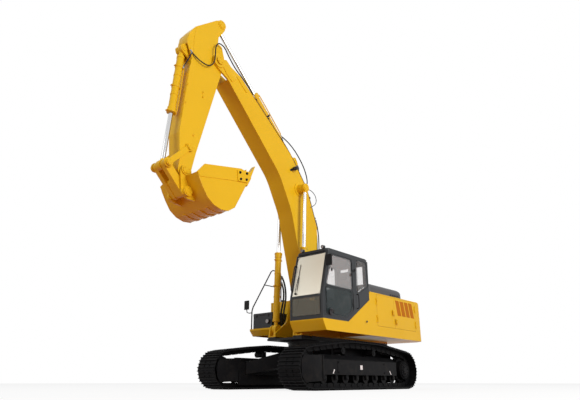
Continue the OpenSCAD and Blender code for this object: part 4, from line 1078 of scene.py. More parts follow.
class EXCAVATOR_OT_body(bpy.types.Operator):
    """Counterweight, latches, grille backs in painted shade, caps, treads and lifting eyes of the upper
    structure
    """

    bl_idname = "excavator.body"
    bl_label = "Body fittings"

    def execute(self, context):
        self.counterweight()
        self.grille()
        self.latch("left_door_latch", (-1.520, CAB_LEFT, 1.90), 1, "left_door")
        self.latch("radiator_door_latch", (-1.660, CAB_LEFT, 1.68), 1, "radiator_door")
        self.latch("pump_door_latch", (-1.260, -CAB_LEFT, 1.90), -1, "pump_door")
        self.lock()
        self.tanks()
        self.toolbox()
        self.hood()
        self.treads()
        self.eyes()
        return {"FINISHED"}

    def counterweight(self):
        """The casting: its top shoulders round off more and more from the doors to the rear corners."""
        bm = merged("counterweight")
        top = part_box("top_cover")[1].z
        front, step, reach, most = -2.745, 0.07, 0.42, 0.24
        for k in range(1, 8):
            self.cut(bm, (front - step * k, 0.0, 0.0), (1.0, 0.0, 0.0))
        for k in range(1, 7):
            inward = most * (1.0 - math.cos(math.radians(15.0 * k)))
            for side in (1, -1):
                self.cut(bm, (0.0, side * (CAB_LEFT - inward), 0.0), (0.0, 1.0, 0.0))
        for v in bm.verts:
            share = min(1.0, max(0.0, (front - v.co.x) / reach))
            radius = most * share * share * (3.0 - 2.0 * share)
            inward = max(0.0, CAB_LEFT - abs(v.co.y))
            if inward < radius:
                drop = radius - math.sqrt(radius * radius - (radius - inward) ** 2)
                v.co.z = min(v.co.z, top - drop)
        stand_in(bm, "counterweight", "yellow")

    def cut(self, bm, place, across):
        """Adds edges where a plane crosses the faces."""
        bmesh.ops.bisect_plane(bm, geom=bm.verts[:] + bm.edges[:] + bm.faces[:], dist=1e-5,
                               plane_co=place, plane_no=across)

    def grille(self):
        """Plates in painted shade close behind the door's slats, and the cooler they shade."""
        shade_backs = bmesh.new()
        for k in range(4):
            x = -2.685 + 0.24 * k
            plate(shade_backs, [(x - 0.012, 1.838), (x + 0.213, 1.838), (x + 0.313, 2.262), (x + 0.088, 2.262)],
                  CAB_LEFT - 0.036, CAB_LEFT - 0.031)
        bmesh.ops.recalc_face_normals(shade_backs, faces=shade_backs.faces)
        # The back plates carry painted shade: the yellow as it looks in the shade of the slats.
        piece(shade_backs, "grille_shade_backs", "louvre_shade", "radiator_door")
        core = bmesh.new()
        block(core, (-2.69, 1.36, 1.56), (-1.66, 1.44, 2.27))
        for z in (1.55, 2.26):
            block(core, (-2.70, 1.35, z), (-1.65, 1.45, z + 0.025))
        soften(core, 0.006)
        piece(core, "cooler", "core", "upper")

    def latch(self, name, at, side, body):
        """A paddle latch in its dish."""
        bm = bmesh.new()
        dish = bmesh.new()
        plate(dish, rounded(oblong((-0.055, -0.075), (0.055, 0.075)), 0.022), 0.0, 0.005, "z")
        soften(dish, 0.002)
        add(bm, dish)
        paddle = bmesh.new()
        plate(paddle, rounded([(-0.038, -0.052), (0.038, -0.052), (0.030, 0.055), (-0.030, 0.055)], 0.014),
              0.004, 0.013, "z")
        soften(paddle, 0.003)
        add(bm, paddle)
        drum(bm, (0.0, 0.035, 0.012), (0.0, 0.035, 0.017), 0.011, sides=20)
        piece(bm, name, "yellow", body, wall(at, (1, 0, 0), (0, 0, 1), (0, side, 0)))

    def lock(self):
        """The key lock of the panel behind the door."""
        bm = bmesh.new()
        drum(bm, (-0.18, CAB_LEFT - 0.002, 1.56), (-0.18, CAB_LEFT + 0.008, 1.56), 0.024, 0.021)
        drum(bm, (-0.18, CAB_LEFT + 0.008, 1.56), (-0.18, CAB_LEFT + 0.011, 1.56), 0.012, sides=20)
        piece(bm, "panel_lock", "plastic", "upper")

    def tanks(self):
        """Filler cap of the fuel tank, cover and breather of the oil tank."""
        cap, cover = bmesh.new(), bmesh.new()
        drum(cap, (-0.22, -1.24, 2.288), (-0.22, -1.24, 2.315), 0.085)
        drum(cap, (-0.22, -1.24, 2.315), (-0.22, -1.24, 2.360), 0.068, 0.062)
        for k in range(8):
            a = math.tau * k / 8
            x, y = -0.22 + 0.066 * math.cos(a), -1.24 + 0.066 * math.sin(a)
            drum(cap, (x, y, 2.317), (x, y, 2.350), 0.008, sides=8)
        soften(cap, 0.003)
        piece(cap, "fuel_cap", "plastic", "upper")
        drum(cover, (-0.80, -1.05, 2.296), (-0.80, -1.05, 2.318), 0.17)
        bolt_ring(cover, (-0.80, -1.05, 2.318), (0, 0, 1), 0.145, 8, 0.011)
        drum(cover, (-0.55, -1.30, 2.296), (-0.55, -1.30, 2.345), 0.045)
        soften(cover, 0.003)
        piece(cover, "oil_tank_covers", "yellow", "upper")

    def toolbox(self):
        """Lid handle, toggle latches and the working lamp of the toolbox."""
        bm = bmesh.new()
        for y in (-1.32, -0.88):
            block(bm, (0.768, y - 0.020, 1.800), (0.776, y + 0.020, 1.875))
            block(bm, (0.774, y - 0.012, 1.815), (0.784, y + 0.012, 1.862))
        soften(bm, 0.003)
        handle = [(0.768, -1.18), (0.798, -1.17), (0.800, -1.10), (0.798, -1.03), (0.768, -1.02)]
        tube(bm, smooth_way([(x, y, 1.852) for x, y in handle], 4), 0.007, 3)
        piece(bm, "toolbox_latches", "plastic", "upper")
        self.lamp("deck_lamp", Vector((0.760, -0.882, 1.668)))

    def lamp(self, name, at):
        """A round working lamp on a plate, facing forward."""
        shell, lens = bmesh.new(), bmesh.new()
        block(shell, at + Vector((-0.002, -0.055, -0.055)), at + Vector((0.008, 0.055, 0.055)))
        drum(shell, at + Vector((0.006, 0, 0)), at + Vector((0.035, 0, 0)), 0.040, 0.062)
        drum(shell, at + Vector((0.034, 0, 0)), at + Vector((0.056, 0, 0)), 0.064, 0.062)
        soften(shell, 0.003)
        piece(shell, name + "_shell", "plastic", "upper")
        drum(lens, at + Vector((0.050, 0, 0)), at + Vector((0.059, 0, 0)), 0.054, 0.050)
        drum(lens, at + Vector((0.059, 0, 0)), at + Vector((0.063, 0, 0)), 0.050, 0.030)
        piece(lens, name + "_lens", "lens", "upper")

    def hood(self):
        """Louvres on the hood's side, ribs over its top and its grip."""
        bm = bmesh.new()
        for k in range(5):
            x = -2.50 + 0.105 * k
            part = bmesh.new()
            plate(part, rounded(oblong((x - 0.036, 2.390), (x + 0.036, 2.510)), 0.015, 3), 1.140, 1.194)
            soften(part, 0.006)
            for v in part.verts:
                v.co.y -= max(0.0, (v.co.z - 2.390)) * 0.11
            add(bm, part)
        piece(bm, "hood_louvres", "plastic", "engine_hood")
        ribs = bmesh.new()
        for k in range(5):
            y = -0.32 + 0.29 * k
            block(ribs, (-2.42, y - 0.05, 2.686), (-1.22, y + 0.05, 2.697))
        soften(ribs, 0.005)
        piece(ribs, "hood_ribs", "hood", "engine_hood")
        grip = bmesh.new()
        way = [(-0.965, 0.14), (-0.935, 0.16), (-0.930, 0.26), (-0.935, 0.36), (-0.965, 0.38)]
        tube(grip, smooth_way([(x, y, 2.47) for x, y in way], 4), 0.009, 3)
        piece(grip, "hood_grip", "rail", "engine_hood")

    def treads(self):
        """Non-slip plates on the toolbox and the top cover."""
        bm = bmesh.new()
        step = 0.06
        plates = ((1.9, (0.08, -1.38), (0.66, -0.82)), (2.33, (-2.60, -1.45), (-1.20, -0.80)),
                  (2.33, (-1.10, 0.66), (-0.50, 1.12)))
        for z, low, high in plates:
            block(bm, (*low, z - 0.001), (*high, z + 0.005))
            for i in range(int((high[0] - low[0] - step) / step)):
                for j in range(int((high[1] - low[1] - step) / step)):
                    x, y = low[0] + 0.05 + step * i, low[1] + 0.05 + step * j
                    drum(bm, (x, y, z + 0.004), (x, y, z + 0.011), 0.016, 0.011, 8)
        piece(bm, "tread_plates", "rail", "upper")

    def eyes(self):
        """Lifting eyes of the counterweight on their collars."""
        bm = bmesh.new()
        for y in (-0.7, 0.7):
            drum(bm, (-3.0, y, 2.328), (-3.0, y, 2.350), 0.040, 0.034)
            eye = [Vector((-3.0, y + 0.036 * math.sin(a), 2.392 - 0.036 * math.cos(a)))
                   for a in [math.tau * k / 16 for k in range(17)]]
            tube(bm, eye, 0.012, 3)
        piece(bm, "lifting_eyes", "rail", "upper")


# Cab

class EXCAVATOR_OT_cab(bpy.types.Operator):
    """Gaskets, handles, wiper, grab rails, lamp lenses and mirror glass of the cab"""

    bl_idname = "excavator.cab"
    bl_label = "Cab fittings"

    front, brow, bend, top = 1.55, 1.29, 2.03, 3.08
    right, rear = 0.56, -0.38

    def execute(self, context):
        lean = Vector((self.brow - self.front, 0.0, self.top - self.bend)).normalized()
        out = Vector((lean.z, 0.0, -lean.x))
        self.screen = wall((self.front, 0.0, self.bend), (0, 1, 0), lean, out)
        self.nose = wall((self.front, 0.0, 0.0), (0, 1, 0), (0, 0, 1), (1, 0, 0))
        self.left = wall((0.0, CAB_LEFT, 0.0), (1, 0, 0), (0, 0, 1), (0, 1, 0))
        self.inner = wall((0.0, self.right, 0.0), (1, 0, 0), (0, 0, 1), (0, -1, 0))
        self.back = wall((self.rear, 0.0, 0.0), (0, 1, 0), (0, 0, 1), (-1, 0, 0))
        self.gaskets()
        self.handles()
        self.wiper()
        self.rails()
        self.lenses()
        return {"FINISHED"}

    def gasket(self, bm, corners, place, width=None):
        """A rubber frame over the edge of a pane; the corners are the opening's."""
        part = bmesh.new()
        outline = pushed(rounded(corners, 0.0), 0.030)
        face = part.faces.new([part.verts.new((p.x, p.y, 0.0)) for p in outline])
        rim = bmesh.ops.inset_region(part, faces=[face], thickness=width or sizes().gasket,
                                     use_boundary=True, use_even_offset=True)["faces"]
        bmesh.ops.delete(part, geom=[face], context="FACES_ONLY")
        made = bmesh.ops.extrude_face_region(part, geom=rim)["geom"]
        bmesh.ops.translate(part, vec=(0.0, 0.0, 0.012),
                            verts=[g for g in made if isinstance(g, bmesh.types.BMVert)])
        soften(part, 0.003, 2, 50.0)
        add(bm, part, place)

    def gaskets(self):
        """The rubber frames of all panes, those of the door on a piece of their own."""
        door, fixed = bmesh.new(), bmesh.new()
        self.gasket(door, [(1.40, 2.28, 0.03), (1.16, 2.97, 0.06), (0.42, 2.97, 0.06), (0.42, 2.28, 0.03)],
                    self.left)
        self.gasket(door, [(1.42, 1.63, 0.03), (1.42, 2.20, 0.03), (0.42, 2.20, 0.03), (0.42, 1.80, 0.06),
                           (0.69, 1.63, 0.06)], self.left)
        self.gasket(fixed, [(0.16, 2.22, 0.04), (0.14, 3.02, 0.04), (-0.22, 3.01, 0.04), (-0.25, 2.44, 0.04)],
                    self.left)
        self.gasket(fixed, [(1.40, 2.06, 0.04), (1.18, 3.00, 0.06), (-0.26, 3.00, 0.06), (-0.26, 2.06, 0.04)],
                    self.inner)
        self.gasket(fixed, [(0.69, 2.40, 0.04), (1.40, 2.40, 0.04), (1.40, 2.98, 0.04), (0.69, 2.98, 0.04)],
                    self.back)
        self.gasket(fixed, [(0.66, 0.045, 0.05), (1.43, 0.045, 0.05), (1.43, 1.00, 0.08), (0.66, 1.00, 0.08)],
                    self.screen, 0.046)
        self.gasket(fixed, [(0.66, 1.61, 0.05), (1.43, 1.61, 0.05), (1.43, 1.965, 0.03), (0.66, 1.965, 0.03)],
                    self.nose, 0.044)
        for bm in (door, fixed):
            bmesh.ops.recalc_face_normals(bm, faces=bm.faces)
        piece(door, "door_gaskets", "rubber", "cab_door")
        piece(fixed, "cab_gaskets", "rubber", "upper")

    def handles(self):
        """The door's grip with its lock, window catches and the stop of the open door."""
        bm = bmesh.new()
        dish = bmesh.new()
        plate(dish, rounded(oblong((1.225, 1.585), (1.355, 1.735)), 0.045),
              CAB_LEFT + 0.004, CAB_LEFT + 0.020)
        soften(dish, 0.004)
        add(bm, dish)
        grip = [(1.250, 0.018, 1.635), (1.252, 0.050, 1.650), (1.290, 0.058, 1.685), (1.326, 0.050, 1.700),
                (1.330, 0.018, 1.702)]
        tube(bm, smooth_way([(x, CAB_LEFT + out, z) for x, out, z in grip], 4), 0.011, 3)
        drum(bm, (1.262, CAB_LEFT + 0.018, 1.700), (1.262, CAB_LEFT + 0.026, 1.700), 0.014, sides=20)
        for x, z in ((0.452, 2.62), (1.235, 2.62)):
            catch = bmesh.new()
            block(catch, (x - 0.016, CAB_LEFT + 0.006, z - 0.035), (x + 0.016, CAB_LEFT + 0.026, z + 0.035))
            block(catch, (x - 0.008, CAB_LEFT + 0.024, z - 0.020), (x + 0.008, CAB_LEFT + 0.036, z + 0.028))
            soften(catch, 0.004)
            add(bm, catch)
        piece(bm, "door_handle", "plastic", "cab_door")
        stop = bmesh.new()
        block(stop, (0.255, CAB_LEFT - 0.002, 2.715), (0.297, CAB_LEFT + 0.024, 2.790))
        drum(stop, (0.276, CAB_LEFT + 0.020, 2.752), (0.276, CAB_LEFT + 0.036, 2.752), 0.018, 0.015, 20)
        soften(stop, 0.004)
        piece(stop, "door_stop", "plastic", "upper")

    def wiper(self):
        """Motor, arm and blade on the windscreen."""
        bm = bmesh.new()
        drum(bm, (0.73, 0.075, 0.006), (0.73, 0.075, 0.040), 0.028, 0.022, 20)
        arm = [(0.73, 0.075, 0.034), (0.735, 0.20, 0.042), (0.745, 0.38, 0.034), (0.750, 0.50, 0.026)]
        tube(bm, smooth_way(arm, 4), 0.0075, 3)
        blade = bmesh.new()
        block(blade, (0.742, 0.18, 0.010), (0.752, 0.82, 0.018))
        block(blade, (0.745, 0.16, 0.007), (0.749, 0.84, 0.012))
        soften(blade, 0.002)
        add(bm, blade)
        piece(bm, "wiper", "rubber", "upper", self.screen)

    def rails(self):
        """The grab rails by the windscreen and behind the door."""
        bm = bmesh.new()
        x, low, high = 0.604, 0.16, 0.80
        way = [(low, 0.002), (low + 0.01, 0.045), (low + 0.06, 0.062), ((low + high) / 2, 0.064),
               (high - 0.06, 0.062), (high - 0.01, 0.045), (high, 0.002)]
        tube(bm, smooth_way([(x, up, out) for up, out in way], 4), 0.013, 3)
        for up in (low, high):
            drum(bm, (x, up, -0.001), (x, up, 0.008), 0.028, 0.024, 20)
        piece(bm, "screen_rail", "rail", "upper", self.screen)
        rail = bmesh.new()
        way = [(-0.002, 1.83), (0.045, 1.84), (0.058, 1.90), (0.060, 2.00), (0.058, 2.10), (0.045, 2.16),
               (-0.002, 2.17)]
        tube(rail, smooth_way([(0.225, CAB_LEFT + out, z) for out, z in way], 4), 0.012, 3)
        piece(rail, "door_rail", "rail", "upper")

    def lenses(self):
        """Lenses of the roof lamps and the glasses of both mirrors."""
        lamps = bmesh.new()
        for y in (0.73, 1.36):
            drum(lamps, (1.303, y, 3.190), (1.309, y, 3.190), 0.036, 0.033)
            drum(lamps, (1.309, y, 3.190), (1.312, y, 3.190), 0.033, 0.018)
        piece(lamps, "roof_lamp_lenses", "lens", "upper")
        glass = bmesh.new()
        mirrors = ((0.852, (-1.668, 2.032), (-1.537, 2.248)), (1.382, (1.562, 2.702), (1.688, 2.933)))
        for x, low, high in mirrors:
            plate(glass, rounded(oblong(low, high), 0.022), x - 0.003, x + 0.001, "x")
        bmesh.ops.recalc_face_normals(glass, faces=glass.faces)
        piece(glass, "mirror_glasses", "mirror", "upper")


class EXCAVATOR_OT_station(bpy.types.Operator):
    """Padded seat, consoles with levers, travel levers, pedals and monitor"""

    bl_idname = "excavator.station"
    bl_label = "Operator's place"

    middle = 1.045

    def execute(self, context):
        floor = DECK + 0.04
        base = bmesh.new()
        for k in range(5):
            z, r = floor + 0.05 + 0.05 * k, 0.19 + 0.012 * (k % 2)
            block(base, (0.375 - r, self.middle - r * 0.9, z), (0.375 + r, self.middle + r * 0.9, z + 0.048))
        block(base, (0.14, self.middle - 0.20, floor), (0.61, self.middle + 0.20, floor + 0.055))
        block(base, (0.12, self.middle - 0.22, floor + 0.30), (0.63, self.middle + 0.22, floor + 0.345))
        soften(base, 0.010)
        seat = piece(base, "seat_base", "plastic", "upper")
        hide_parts("operator_station")
        self.pads()
        for side, word in SIDES:
            self.console(side, word, floor)
            self.travel(side, word, floor)
        self.monitor(floor)
        return {"FINISHED"}

    def pad(self, name, place, half, crown, channels):
        """A crowned cushion: sides that pull in between the corners, sewn channels across its top."""
        bm = bmesh.new()
        bmesh.ops.create_cube(bm, size=2.0)
        bmesh.ops.subdivide_edges(bm, edges=bm.edges, cuts=11, use_grid_fill=True)
        for v in bm.verts:
            u, w, t = v.co
            swell = (1.0 - u * u) * (1.0 - w * w)
            pull = 0.055 * (1.0 - t * t)
            z = t * half[2] + math.copysign(crown, t) * abs(t) * swell * (1.0 if t > 0.0 else 0.25)
            for c in channels:
                z -= 0.014 * math.exp(-((w - c) / 0.07) ** 2) * max(0.0, t) * (1.0 - u ** 6)
            v.co = (u * half[0] * (1.0 - pull * (1.0 - w * w) * abs(u)),
                    w * half[1] * (1.0 - pull * (1.0 - u * u) * abs(w)), z)
        bmesh.ops.smooth_vert(bm, verts=bm.verts, factor=0.5, use_axis_x=True, use_axis_y=True,
                              use_axis_z=True)
        cushion = piece(bm, name, "cloth", "upper", place, 180.0)
        smooth = cushion.modifiers.new("smooth", "SUBSURF")
        smooth.levels = smooth.render_levels = 1

    def pads(self):
        """The seat's cushions, and the stays of its arm rests and head rest."""
        tilt = Matrix.Rotation(math.radians(-5), 4, "Y")
        back = Matrix.Rotation(math.radians(79), 4, "Y")
        at = Matrix.Translation
        seams = (-0.45, 0.45)
        self.pad("seat_cushion", at((0.375, self.middle, 1.945)) @ tilt, (0.265, 0.245, 0.058), 0.022, seams)
        self.pad("seat_back", at((0.062, self.middle, 2.285)) @ back, (0.335, 0.235, 0.055), 0.022, seams)
        self.pad("head_rest", at((-0.035, self.middle, 2.715)) @ back, (0.100, 0.135, 0.045), 0.014, ())
        rest = [(0.09, 0.265, 2.06), (0.11, 0.278, 2.125), (0.20, 0.285, 2.130), (0.36, 0.285, 2.130)]
        post = [(-0.005, 2.56), (-0.020, 2.64), (-0.030, 2.70)]
        stays = bmesh.new()
        for side, word in SIDES:
            self.pad("arm_rest_" + word, at((0.30, self.middle + side * 0.285, 2.155)),
                     (0.150, 0.035, 0.022), 0.008, ())
            tube(stays, smooth_way([(x, self.middle + side * y, z) for x, y, z in rest], 4), 0.014, 3)
            tube(stays, [in_plane(p, self.middle + side * 0.06) for p in post], 0.008, 3)
        piece(stays, "seat_stays", "rail", "upper")

    def console(self, side, word, floor):
        """A console with its joystick in a rubber boot."""
        y = self.middle + side * 0.33
        bm = bmesh.new()
        shape = rounded([(0.21, floor + 0.01), (0.66, floor + 0.01), (0.75, floor + 0.44),
                         (0.755, floor + 0.585), (0.22, floor + 0.555)], 0.05)
        plate(bm, shape, y - 0.068, y + 0.068)
        soften(bm, 0.014, 3)
        for k in range(4):
            block(bm, (0.33 + 0.055 * k, y - 0.020, floor + 0.55),
                  (0.365 + 0.055 * k, y + 0.020, floor + 0.580 + 0.002 * k))
        piece(bm, "console_" + word, "plastic", "upper")
        lever = bmesh.new()
        top = floor + 0.585
        for k in range(4):
            drum(lever, (0.68, y, top - 0.012 + 0.018 * k), (0.68, y, top + 0.010 + 0.018 * k),
                 0.052 - 0.010 * k, 0.042 - 0.010 * k, 20)
        stem = [(0.68, y, top + 0.03), (0.682, y, top + 0.09), (0.690, y, top + 0.14)]
        tube(lever, smooth_way(stem, 5), 0.010, 3)
        place = (Matrix.Translation((0.694, y, top + 0.165)) @ Matrix.Rotation(0.25, 4, "Y")
                 @ Matrix.Diagonal((0.026, 0.024, 0.062, 1.0)))
        grip = bmesh.ops.create_uvsphere(lever, u_segments=20, v_segments=12, radius=1.0, matrix=place)
        for v in grip["verts"]:
            if v.co.z > top + 0.20:
                v.co.x += 0.010
        piece(lever, "joystick_" + word, "rubber", "upper")

    def travel(self, side, word, floor):
        """A travel lever over its pedal."""
        y = self.middle + side * 0.09
        bm = bmesh.new()
        stem = [(1.085, y, floor), (1.080, y, floor + 0.22), (1.070, y + side * 0.02, floor + 0.42),
                (1.040, y + side * 0.04, floor + 0.52)]
        tube(bm, smooth_way(stem, 6), 0.011, 3)
        place = (Matrix.Translation((1.034, y + side * 0.042, floor + 0.535))
                 @ Matrix.Diagonal((0.026, 0.026, 0.034, 1.0)))
        bmesh.ops.create_uvsphere(bm, u_segments=18, v_segments=12, radius=1.0, matrix=place)
        pedal = bmesh.new()
        block(pedal, (-0.105, -0.055, 0.0), (0.105, 0.055, 0.012))
        for k in range(6):
            block(pedal, (-0.088 + 0.034 * k, -0.045, 0.011), (-0.076 + 0.034 * k, 0.045, 0.017))
        soften(pedal, 0.003)
        drum(pedal, (0.0, -0.05, -0.012), (0.0, 0.05, -0.012), 0.014, sides=16)
        across = y + side * 0.035
        add(bm, pedal, Matrix.Translation((1.16, across, floor + 0.095)) @ Matrix.Rotation(0.42, 4, "Y"))
        for d in (-0.03, 0.03):
            drum(bm, (1.16, across + d, floor), (1.16, across + d, floor + 0.085), 0.010, sides=12)
        piece(bm, "travel_lever_" + word, "rubber", "upper")

    def monitor(self, floor):
        """The display on its stalk by the right post."""
        shell, face = bmesh.new(), bmesh.new()
        place = (Matrix.Translation((1.20, 0.72, floor + 0.74)) @ Matrix.Rotation(math.radians(-28), 4, "Z")
                 @ Matrix.Rotation(math.radians(-14), 4, "Y"))
        block(shell, (-0.025, -0.115, -0.085), (0.030, 0.115, 0.085))
        soften(shell, 0.012, 3)
        stalk = [(0.02, 0.0, -0.07), (0.05, -0.01, -0.20), (0.07, -0.015, -0.42), (0.075, -0.015, -0.68)]
        tube(shell, smooth_way(stalk, 5), 0.020, 3)
        piece(shell, "monitor_shell", "plastic", "upper", place)
        plate(face, rounded(oblong((-0.095, -0.065), (0.095, 0.065)), 0.012), -0.027, -0.024, "x")
        bmesh.ops.recalc_face_normals(face, faces=face.faces)
        piece(face, "monitor_face", "dark_glass", "upper", place)


# Working front

class EXCAVATOR_OT_front(bpy.types.Operator):
    """Pin caps, lamp lens, pipes, clamps, welds and bolts of the boom, the arm and the bucket"""

    bl_idname = "excavator.front"
    bl_label = "Working front"

    boom_cylinder = ((0.95, 1.42), (0.807, 5.073))

    def execute(self, context):
        self.pins()
        self.boom()
        self.arm()
        self.cylinders()
        self.bucket()
        return {"FINISHED"}

    def cap(self, bm, place, at, y, radius):
        """End plate of a pin with its bolts, on both sides of the machine."""
        for side in (1, -1):
            part = bmesh.new()
            foot, seat, face, tip = [in_plane(at, side * (y + d)) for d in (-0.004, 0.011, 0.012, 0.016)]
            drum(part, foot, face, radius, radius * 0.97, 36)
            drum(part, face, tip, radius * 0.42, radius * 0.36, 24)
            bolt_ring(part, seat, (0, side, 0), radius * 0.68, 3, radius * 0.13, 0.4)
            add(bm, part, place)

    def pins(self):
        """Caps on the ends of the pins: body, frame, place in it, half width and radius."""
        rows = (
            ("boom_foot_caps", "upper", MACHINE, (FOOT.x, FOOT.z), 0.365, 0.100),
            ("rod_eye_caps", "boom_rods", BOOM, BOOM_PIN, 0.496, 0.086),
            ("tip_caps", "arm", ARM, (0.0, 0.0), 0.285, 0.100),
            ("arm_base_caps", "boom", BOOM, ARM_BASE, 0.115, 0.082),
            ("tail_caps", "arm", BOOM, ARM_PIN, 0.202, 0.098),
            ("bucket_base_caps", "arm", ARM, BUCKET_BASE, 0.110, 0.078),
            ("rocker_caps", "rockers", ARM, ROCKER_PIN, 0.255, 0.078),
            ("rod_pin_caps", "rockers", ARM, ROD_PIN, 0.290, 0.070),
            ("ear_caps", "bucket", ARM, EAR_PIN, 0.305, 0.088),
            ("nose_caps", "bucket", MACHINE, (NOSE.x, NOSE.z), 0.275, 0.092),
        )
        for name, body, place, at, y, radius in rows:
            bm = bmesh.new()
            self.cap(bm, place, at, y, radius)
            piece(bm, name, "yellow", body)

    def weld(self, bm, points, y, radius=0.007):
        """A weld bead along a line of the side plates, on both sides."""
        for side in (1, -1):
            tube(bm, [in_plane(p, side * y) for p in points], radius, 2)

    def boom(self):
        """Lens and rim of the working lamp, weld beads and the doublers by the tip."""
        lens, shell, bead = bmesh.new(), bmesh.new(), bmesh.new()
        x, z, y = ARM_BASE[0] - 0.19, ARM_BASE[1] - 0.46, 0.345
        axis = Vector((0.09, 0.0, -0.010)).normalized()
        face = Vector((x + 0.070, y, z + 0.095))
        drum(lens, face - axis * 0.004, face + axis * 0.004, 0.058, 0.056)
        drum(lens, face + axis * 0.004, face + axis * 0.012, 0.056, 0.030)
        piece(lens, "boom_lamp_lens", "lens", "boom", BOOM)
        front = face + axis * 0.008
        drum(shell, face - axis * 0.030, front, 0.0735)
        drum(shell, front - axis * 0.024, front - axis * 0.018, 0.077)
        soften(shell, 0.002)
        piece(shell, "boom_lamp_rim", "plastic", "boom", BOOM)
        top = [(1.50, 1.330), (2.60, 1.540), (3.702, 1.400), (5.98, 0.571)]
        self.weld(bead, [(p[0], p[1] - 0.012) for p in top], 0.240)
        doubler = rounded([(6.50, 0.02), (6.08, 0.09), (5.885, 0.17), (5.94, 0.40), (6.25, 0.33),
                           (6.45, 0.26)], 0.03)
        for side in (1, -1):
            part = bmesh.new()
            plate(part, doubler, side * 0.236, side * 0.257)
            soften(part, 0.004)
            add(bead, part)
        piece(bead, "boom_welds", "yellow", "boom", BOOM)

    def arm(self):
        """The cover over the head, bolted tabs for pipes and guards, and weld beads."""
        cover, tabs, bead = bmesh.new(), bmesh.new(), bmesh.new()
        plate(cover, [(-0.135, 0.936), (-0.130, 0.958), (0.060, 0.952), (0.168, 0.918), (0.160, 0.896),
                      (0.055, 0.930)], -0.178, 0.178)
        soften(cover, 0.003)
        piece(cover, "head_cover", "yellow", "arm", ARM)
        for s, n in ((1.211, 0.582), (1.685, 0.489), (1.123, 0.143), (1.227, 0.111), (2.316, 0.048)):
            for side in (1, -1):
                part = bmesh.new()
                block(part, (s - 0.030, side * 0.188, n - 0.016), (s + 0.030, side * 0.206, n + 0.016))
                soften(part, 0.003)
                bolt(part, (s - 0.012, side * 0.205, n), (0, side, 0), 0.009, False)
                bolt(part, (s + 0.014, side * 0.205, n), (0, side, 0), 0.009, False)
                add(tabs, part)
        part = bmesh.new()
        plate(part, rounded([(0.215, 0.735), (0.425, 0.705), (0.425, 0.760), (0.225, 0.830)], 0.02),
              0.186, 0.204)
        soften(part, 0.003)
        add(tabs, part)
        piece(tabs, "arm_tabs", "yellow", "arm", ARM)
        self.weld(bead, [(-0.45, 0.84), (-0.045, 0.79), (0.28, 0.70)], 0.191)
        piece(bead, "arm_welds", "yellow", "arm", ARM)

    def run(self, bm, place, start, end, offsets, radius, stretch):
        """Pipes beside a cylinder, with an elbow into it at each end.

        Offsets from its axis are given across the machine and square to the cylinder.
        """
        a, b = in_plane(start), in_plane(end)
        along = (b - a).normalized()
        square = Vector((-along.z, 0.0, along.x))
        for y, n in offsets:
            low, high = (b - a).length * stretch[0], (b - a).length * stretch[1]
            beside = Vector((0.0, y, 0.0)) + square * n
            inside = beside * 0.62
            way = smooth_way([a + along * low + inside, a + along * (low + 0.02) + beside * 0.92,
                              a + along * (low + 0.09) + beside, a + along * (high - 0.09) + beside,
                              a + along * (high - 0.02) + beside * 0.92, a + along * high + inside], 4)
            tube(bm, in_frame(place, way), radius, 3)

    def band(self, bm, place, start, end, share, radius, y=0.0, width=0.05):
        """A clamp round a cylinder: a band with a bolted lug on either side."""
        a, b = in_plane(start, y), in_plane(end, y)
        along = (b - a).normalized()
        square = Vector((-along.z, 0.0, along.x))
        at = a.lerp(b, share)
        part = bmesh.new()
        ring(part, at - along * width / 2, at + along * width / 2, 0.076, radius)
        for way in (1, -1):
            foot = at + square * way * (radius + 0.012)
            drum(part, foot - Vector((0, 0.034, 0)), foot + Vector((0, 0.034, 0)), 0.016, sides=12)
            bolt(part, foot + Vector((0, 0.034, 0)), (0, 1, 0), 0.010, False)
        soften(part, 0.003)
        add(bm, part, place)

    def cylinders(self):
        """Pipes and clamps of the bucket's, the arm's and the boom's cylinders."""
        pipes, bands = bmesh.new(), bmesh.new()
        self.run(pipes, ARM, BUCKET_BASE, ROD_PIN, ((0.060, -0.105), (-0.060, -0.105)), 0.013,
                 (0.165, 0.560))
        piece(pipes, "bucket_cylinder_pipes", "yellow", "bucket_barrel")
        for share in (0.165, 0.345):
            self.band(bands, ARM, BUCKET_BASE, ROD_PIN, share, 0.092)
        self.band(bands, ARM, BUCKET_BASE, ROD_PIN, 0.5665, 0.104, width=0.030)
        piece(bands, "bucket_cylinder_bands", "yellow", "bucket_barrel")
        pipes, bands = bmesh.new(), bmesh.new()
        self.run(pipes, BOOM, ARM_BASE, ARM_PIN, ((0.070, 0.100), (-0.070, 0.100)), 0.014,
                 (0.205, 0.515))
        piece(pipes, "arm_cylinder_pipes", "yellow", "arm_barrel")
        for share in (0.18, 0.36):
            self.band(bands, BOOM, ARM_BASE, ARM_PIN, share, 0.098)
        piece(bands, "arm_cylinder_bands", "rail", "arm_barrel")
        bands = bmesh.new()
        for side in (1, -1):
            for share in (0.30, 0.49):
                self.band(bands, MACHINE, *self.boom_cylinder, share, 0.094, side * 0.44, 0.034)
        piece(bands, "boom_cylinder_bands", "yellow", "boom_barrels")

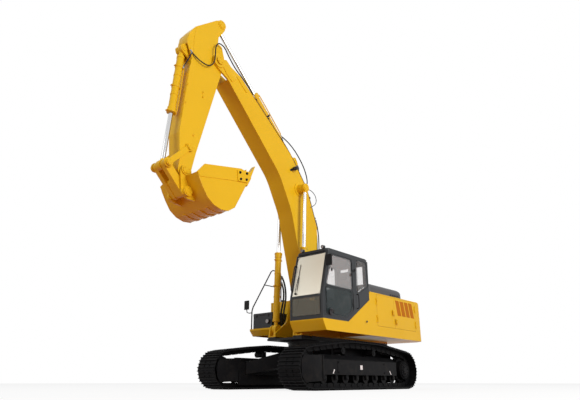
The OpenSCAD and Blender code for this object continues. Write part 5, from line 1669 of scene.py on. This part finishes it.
    def bucket(self):
        """Bolts of the side cutters, black as painted shade, pins of the teeth and weld beads."""
        bolts, bead = bmesh.new(), bmesh.new()
        for side in (1, -1):
            for s, n in ((1.165, 0.275), (1.180, 0.120), (1.345, 0.285), (1.390, 0.140)):
                bolt(bolts, (s, side * 0.682, n), (0, side, 0), 0.024)
        lip = Vector((1.480, 0.245))
        way = (lip - Vector((0.860, 0.915))).normalized()
        for k in range(5):
            y = -0.57 + 1.14 * k / 4
            at = lip + way * 0.055
            drum(bolts, (at.x, y - 0.066, at.y), (at.x, y + 0.066, at.y), 0.017, sides=16)
        bmesh.ops.recalc_face_normals(bolts, faces=bolts.faces)
        # Black on the side cutters' bolts is painted shade: the bolts are yellow, with shade round them. The
        # teeth's pins share that black.
        piece(bolts, "bucket_bolts_in_painted_shade", "rail", "bucket", BUCKET)
        belly = [(-0.020, 0.235), (0.045, 0.470), (0.130, 0.690), (0.270, 0.850), (0.450, 0.955),
                 (0.650, 0.990), (0.860, 0.915), (1.400, 0.330)]
        self.weld(bead, belly, 0.648, 0.009)
        piece(bead, "bucket_welds", "yellow", "bucket", BUCKET)


class EXCAVATOR_PT_panel(bpy.types.Panel):
    """Lists the pieces and their settings"""

    bl_idname = "EXCAVATOR_PT_panel"
    bl_label = "Crawler excavator"
    bl_space_type = "VIEW_3D"
    bl_region_type = "UI"
    bl_category = "Excavator"

    def draw(self, context):
        for settings in (context.scene.excavator_finishes, context.scene.excavator_sizes,
                         context.scene.excavator_stage):
            for name in settings.__annotations__:
                self.layout.prop(settings, name)
        for operator in OPERATORS:
            self.layout.operator(operator.bl_idname)


OPERATORS = (
    EXCAVATOR_OT_stage,
    EXCAVATOR_OT_hoses,
    EXCAVATOR_OT_solids,
    EXCAVATOR_OT_tracks,
    EXCAVATOR_OT_undercarriage,
    EXCAVATOR_OT_body,
    EXCAVATOR_OT_cab,
    EXCAVATOR_OT_station,
    EXCAVATOR_OT_front,
)
CLASSES = (FinishSettings, SizeSettings, StageSettings, *OPERATORS, EXCAVATOR_PT_panel)


def register():
    for cls in CLASSES:
        bpy.utils.register_class(cls)
    bpy.types.Scene.excavator_finishes = bpy.props.PointerProperty(type=FinishSettings)
    bpy.types.Scene.excavator_sizes = bpy.props.PointerProperty(type=SizeSettings)
    bpy.types.Scene.excavator_stage = bpy.props.PointerProperty(type=StageSettings)


def unregister():
    del bpy.types.Scene.excavator_stage
    del bpy.types.Scene.excavator_sizes
    del bpy.types.Scene.excavator_finishes
    for cls in reversed(CLASSES):
        bpy.utils.unregister_class(cls)


def main():
    register()
    for operator in OPERATORS:
        group, name = operator.bl_idname.split(".")
        getattr(getattr(bpy.ops, group), name)()


if __name__ == "__main__":
    main()
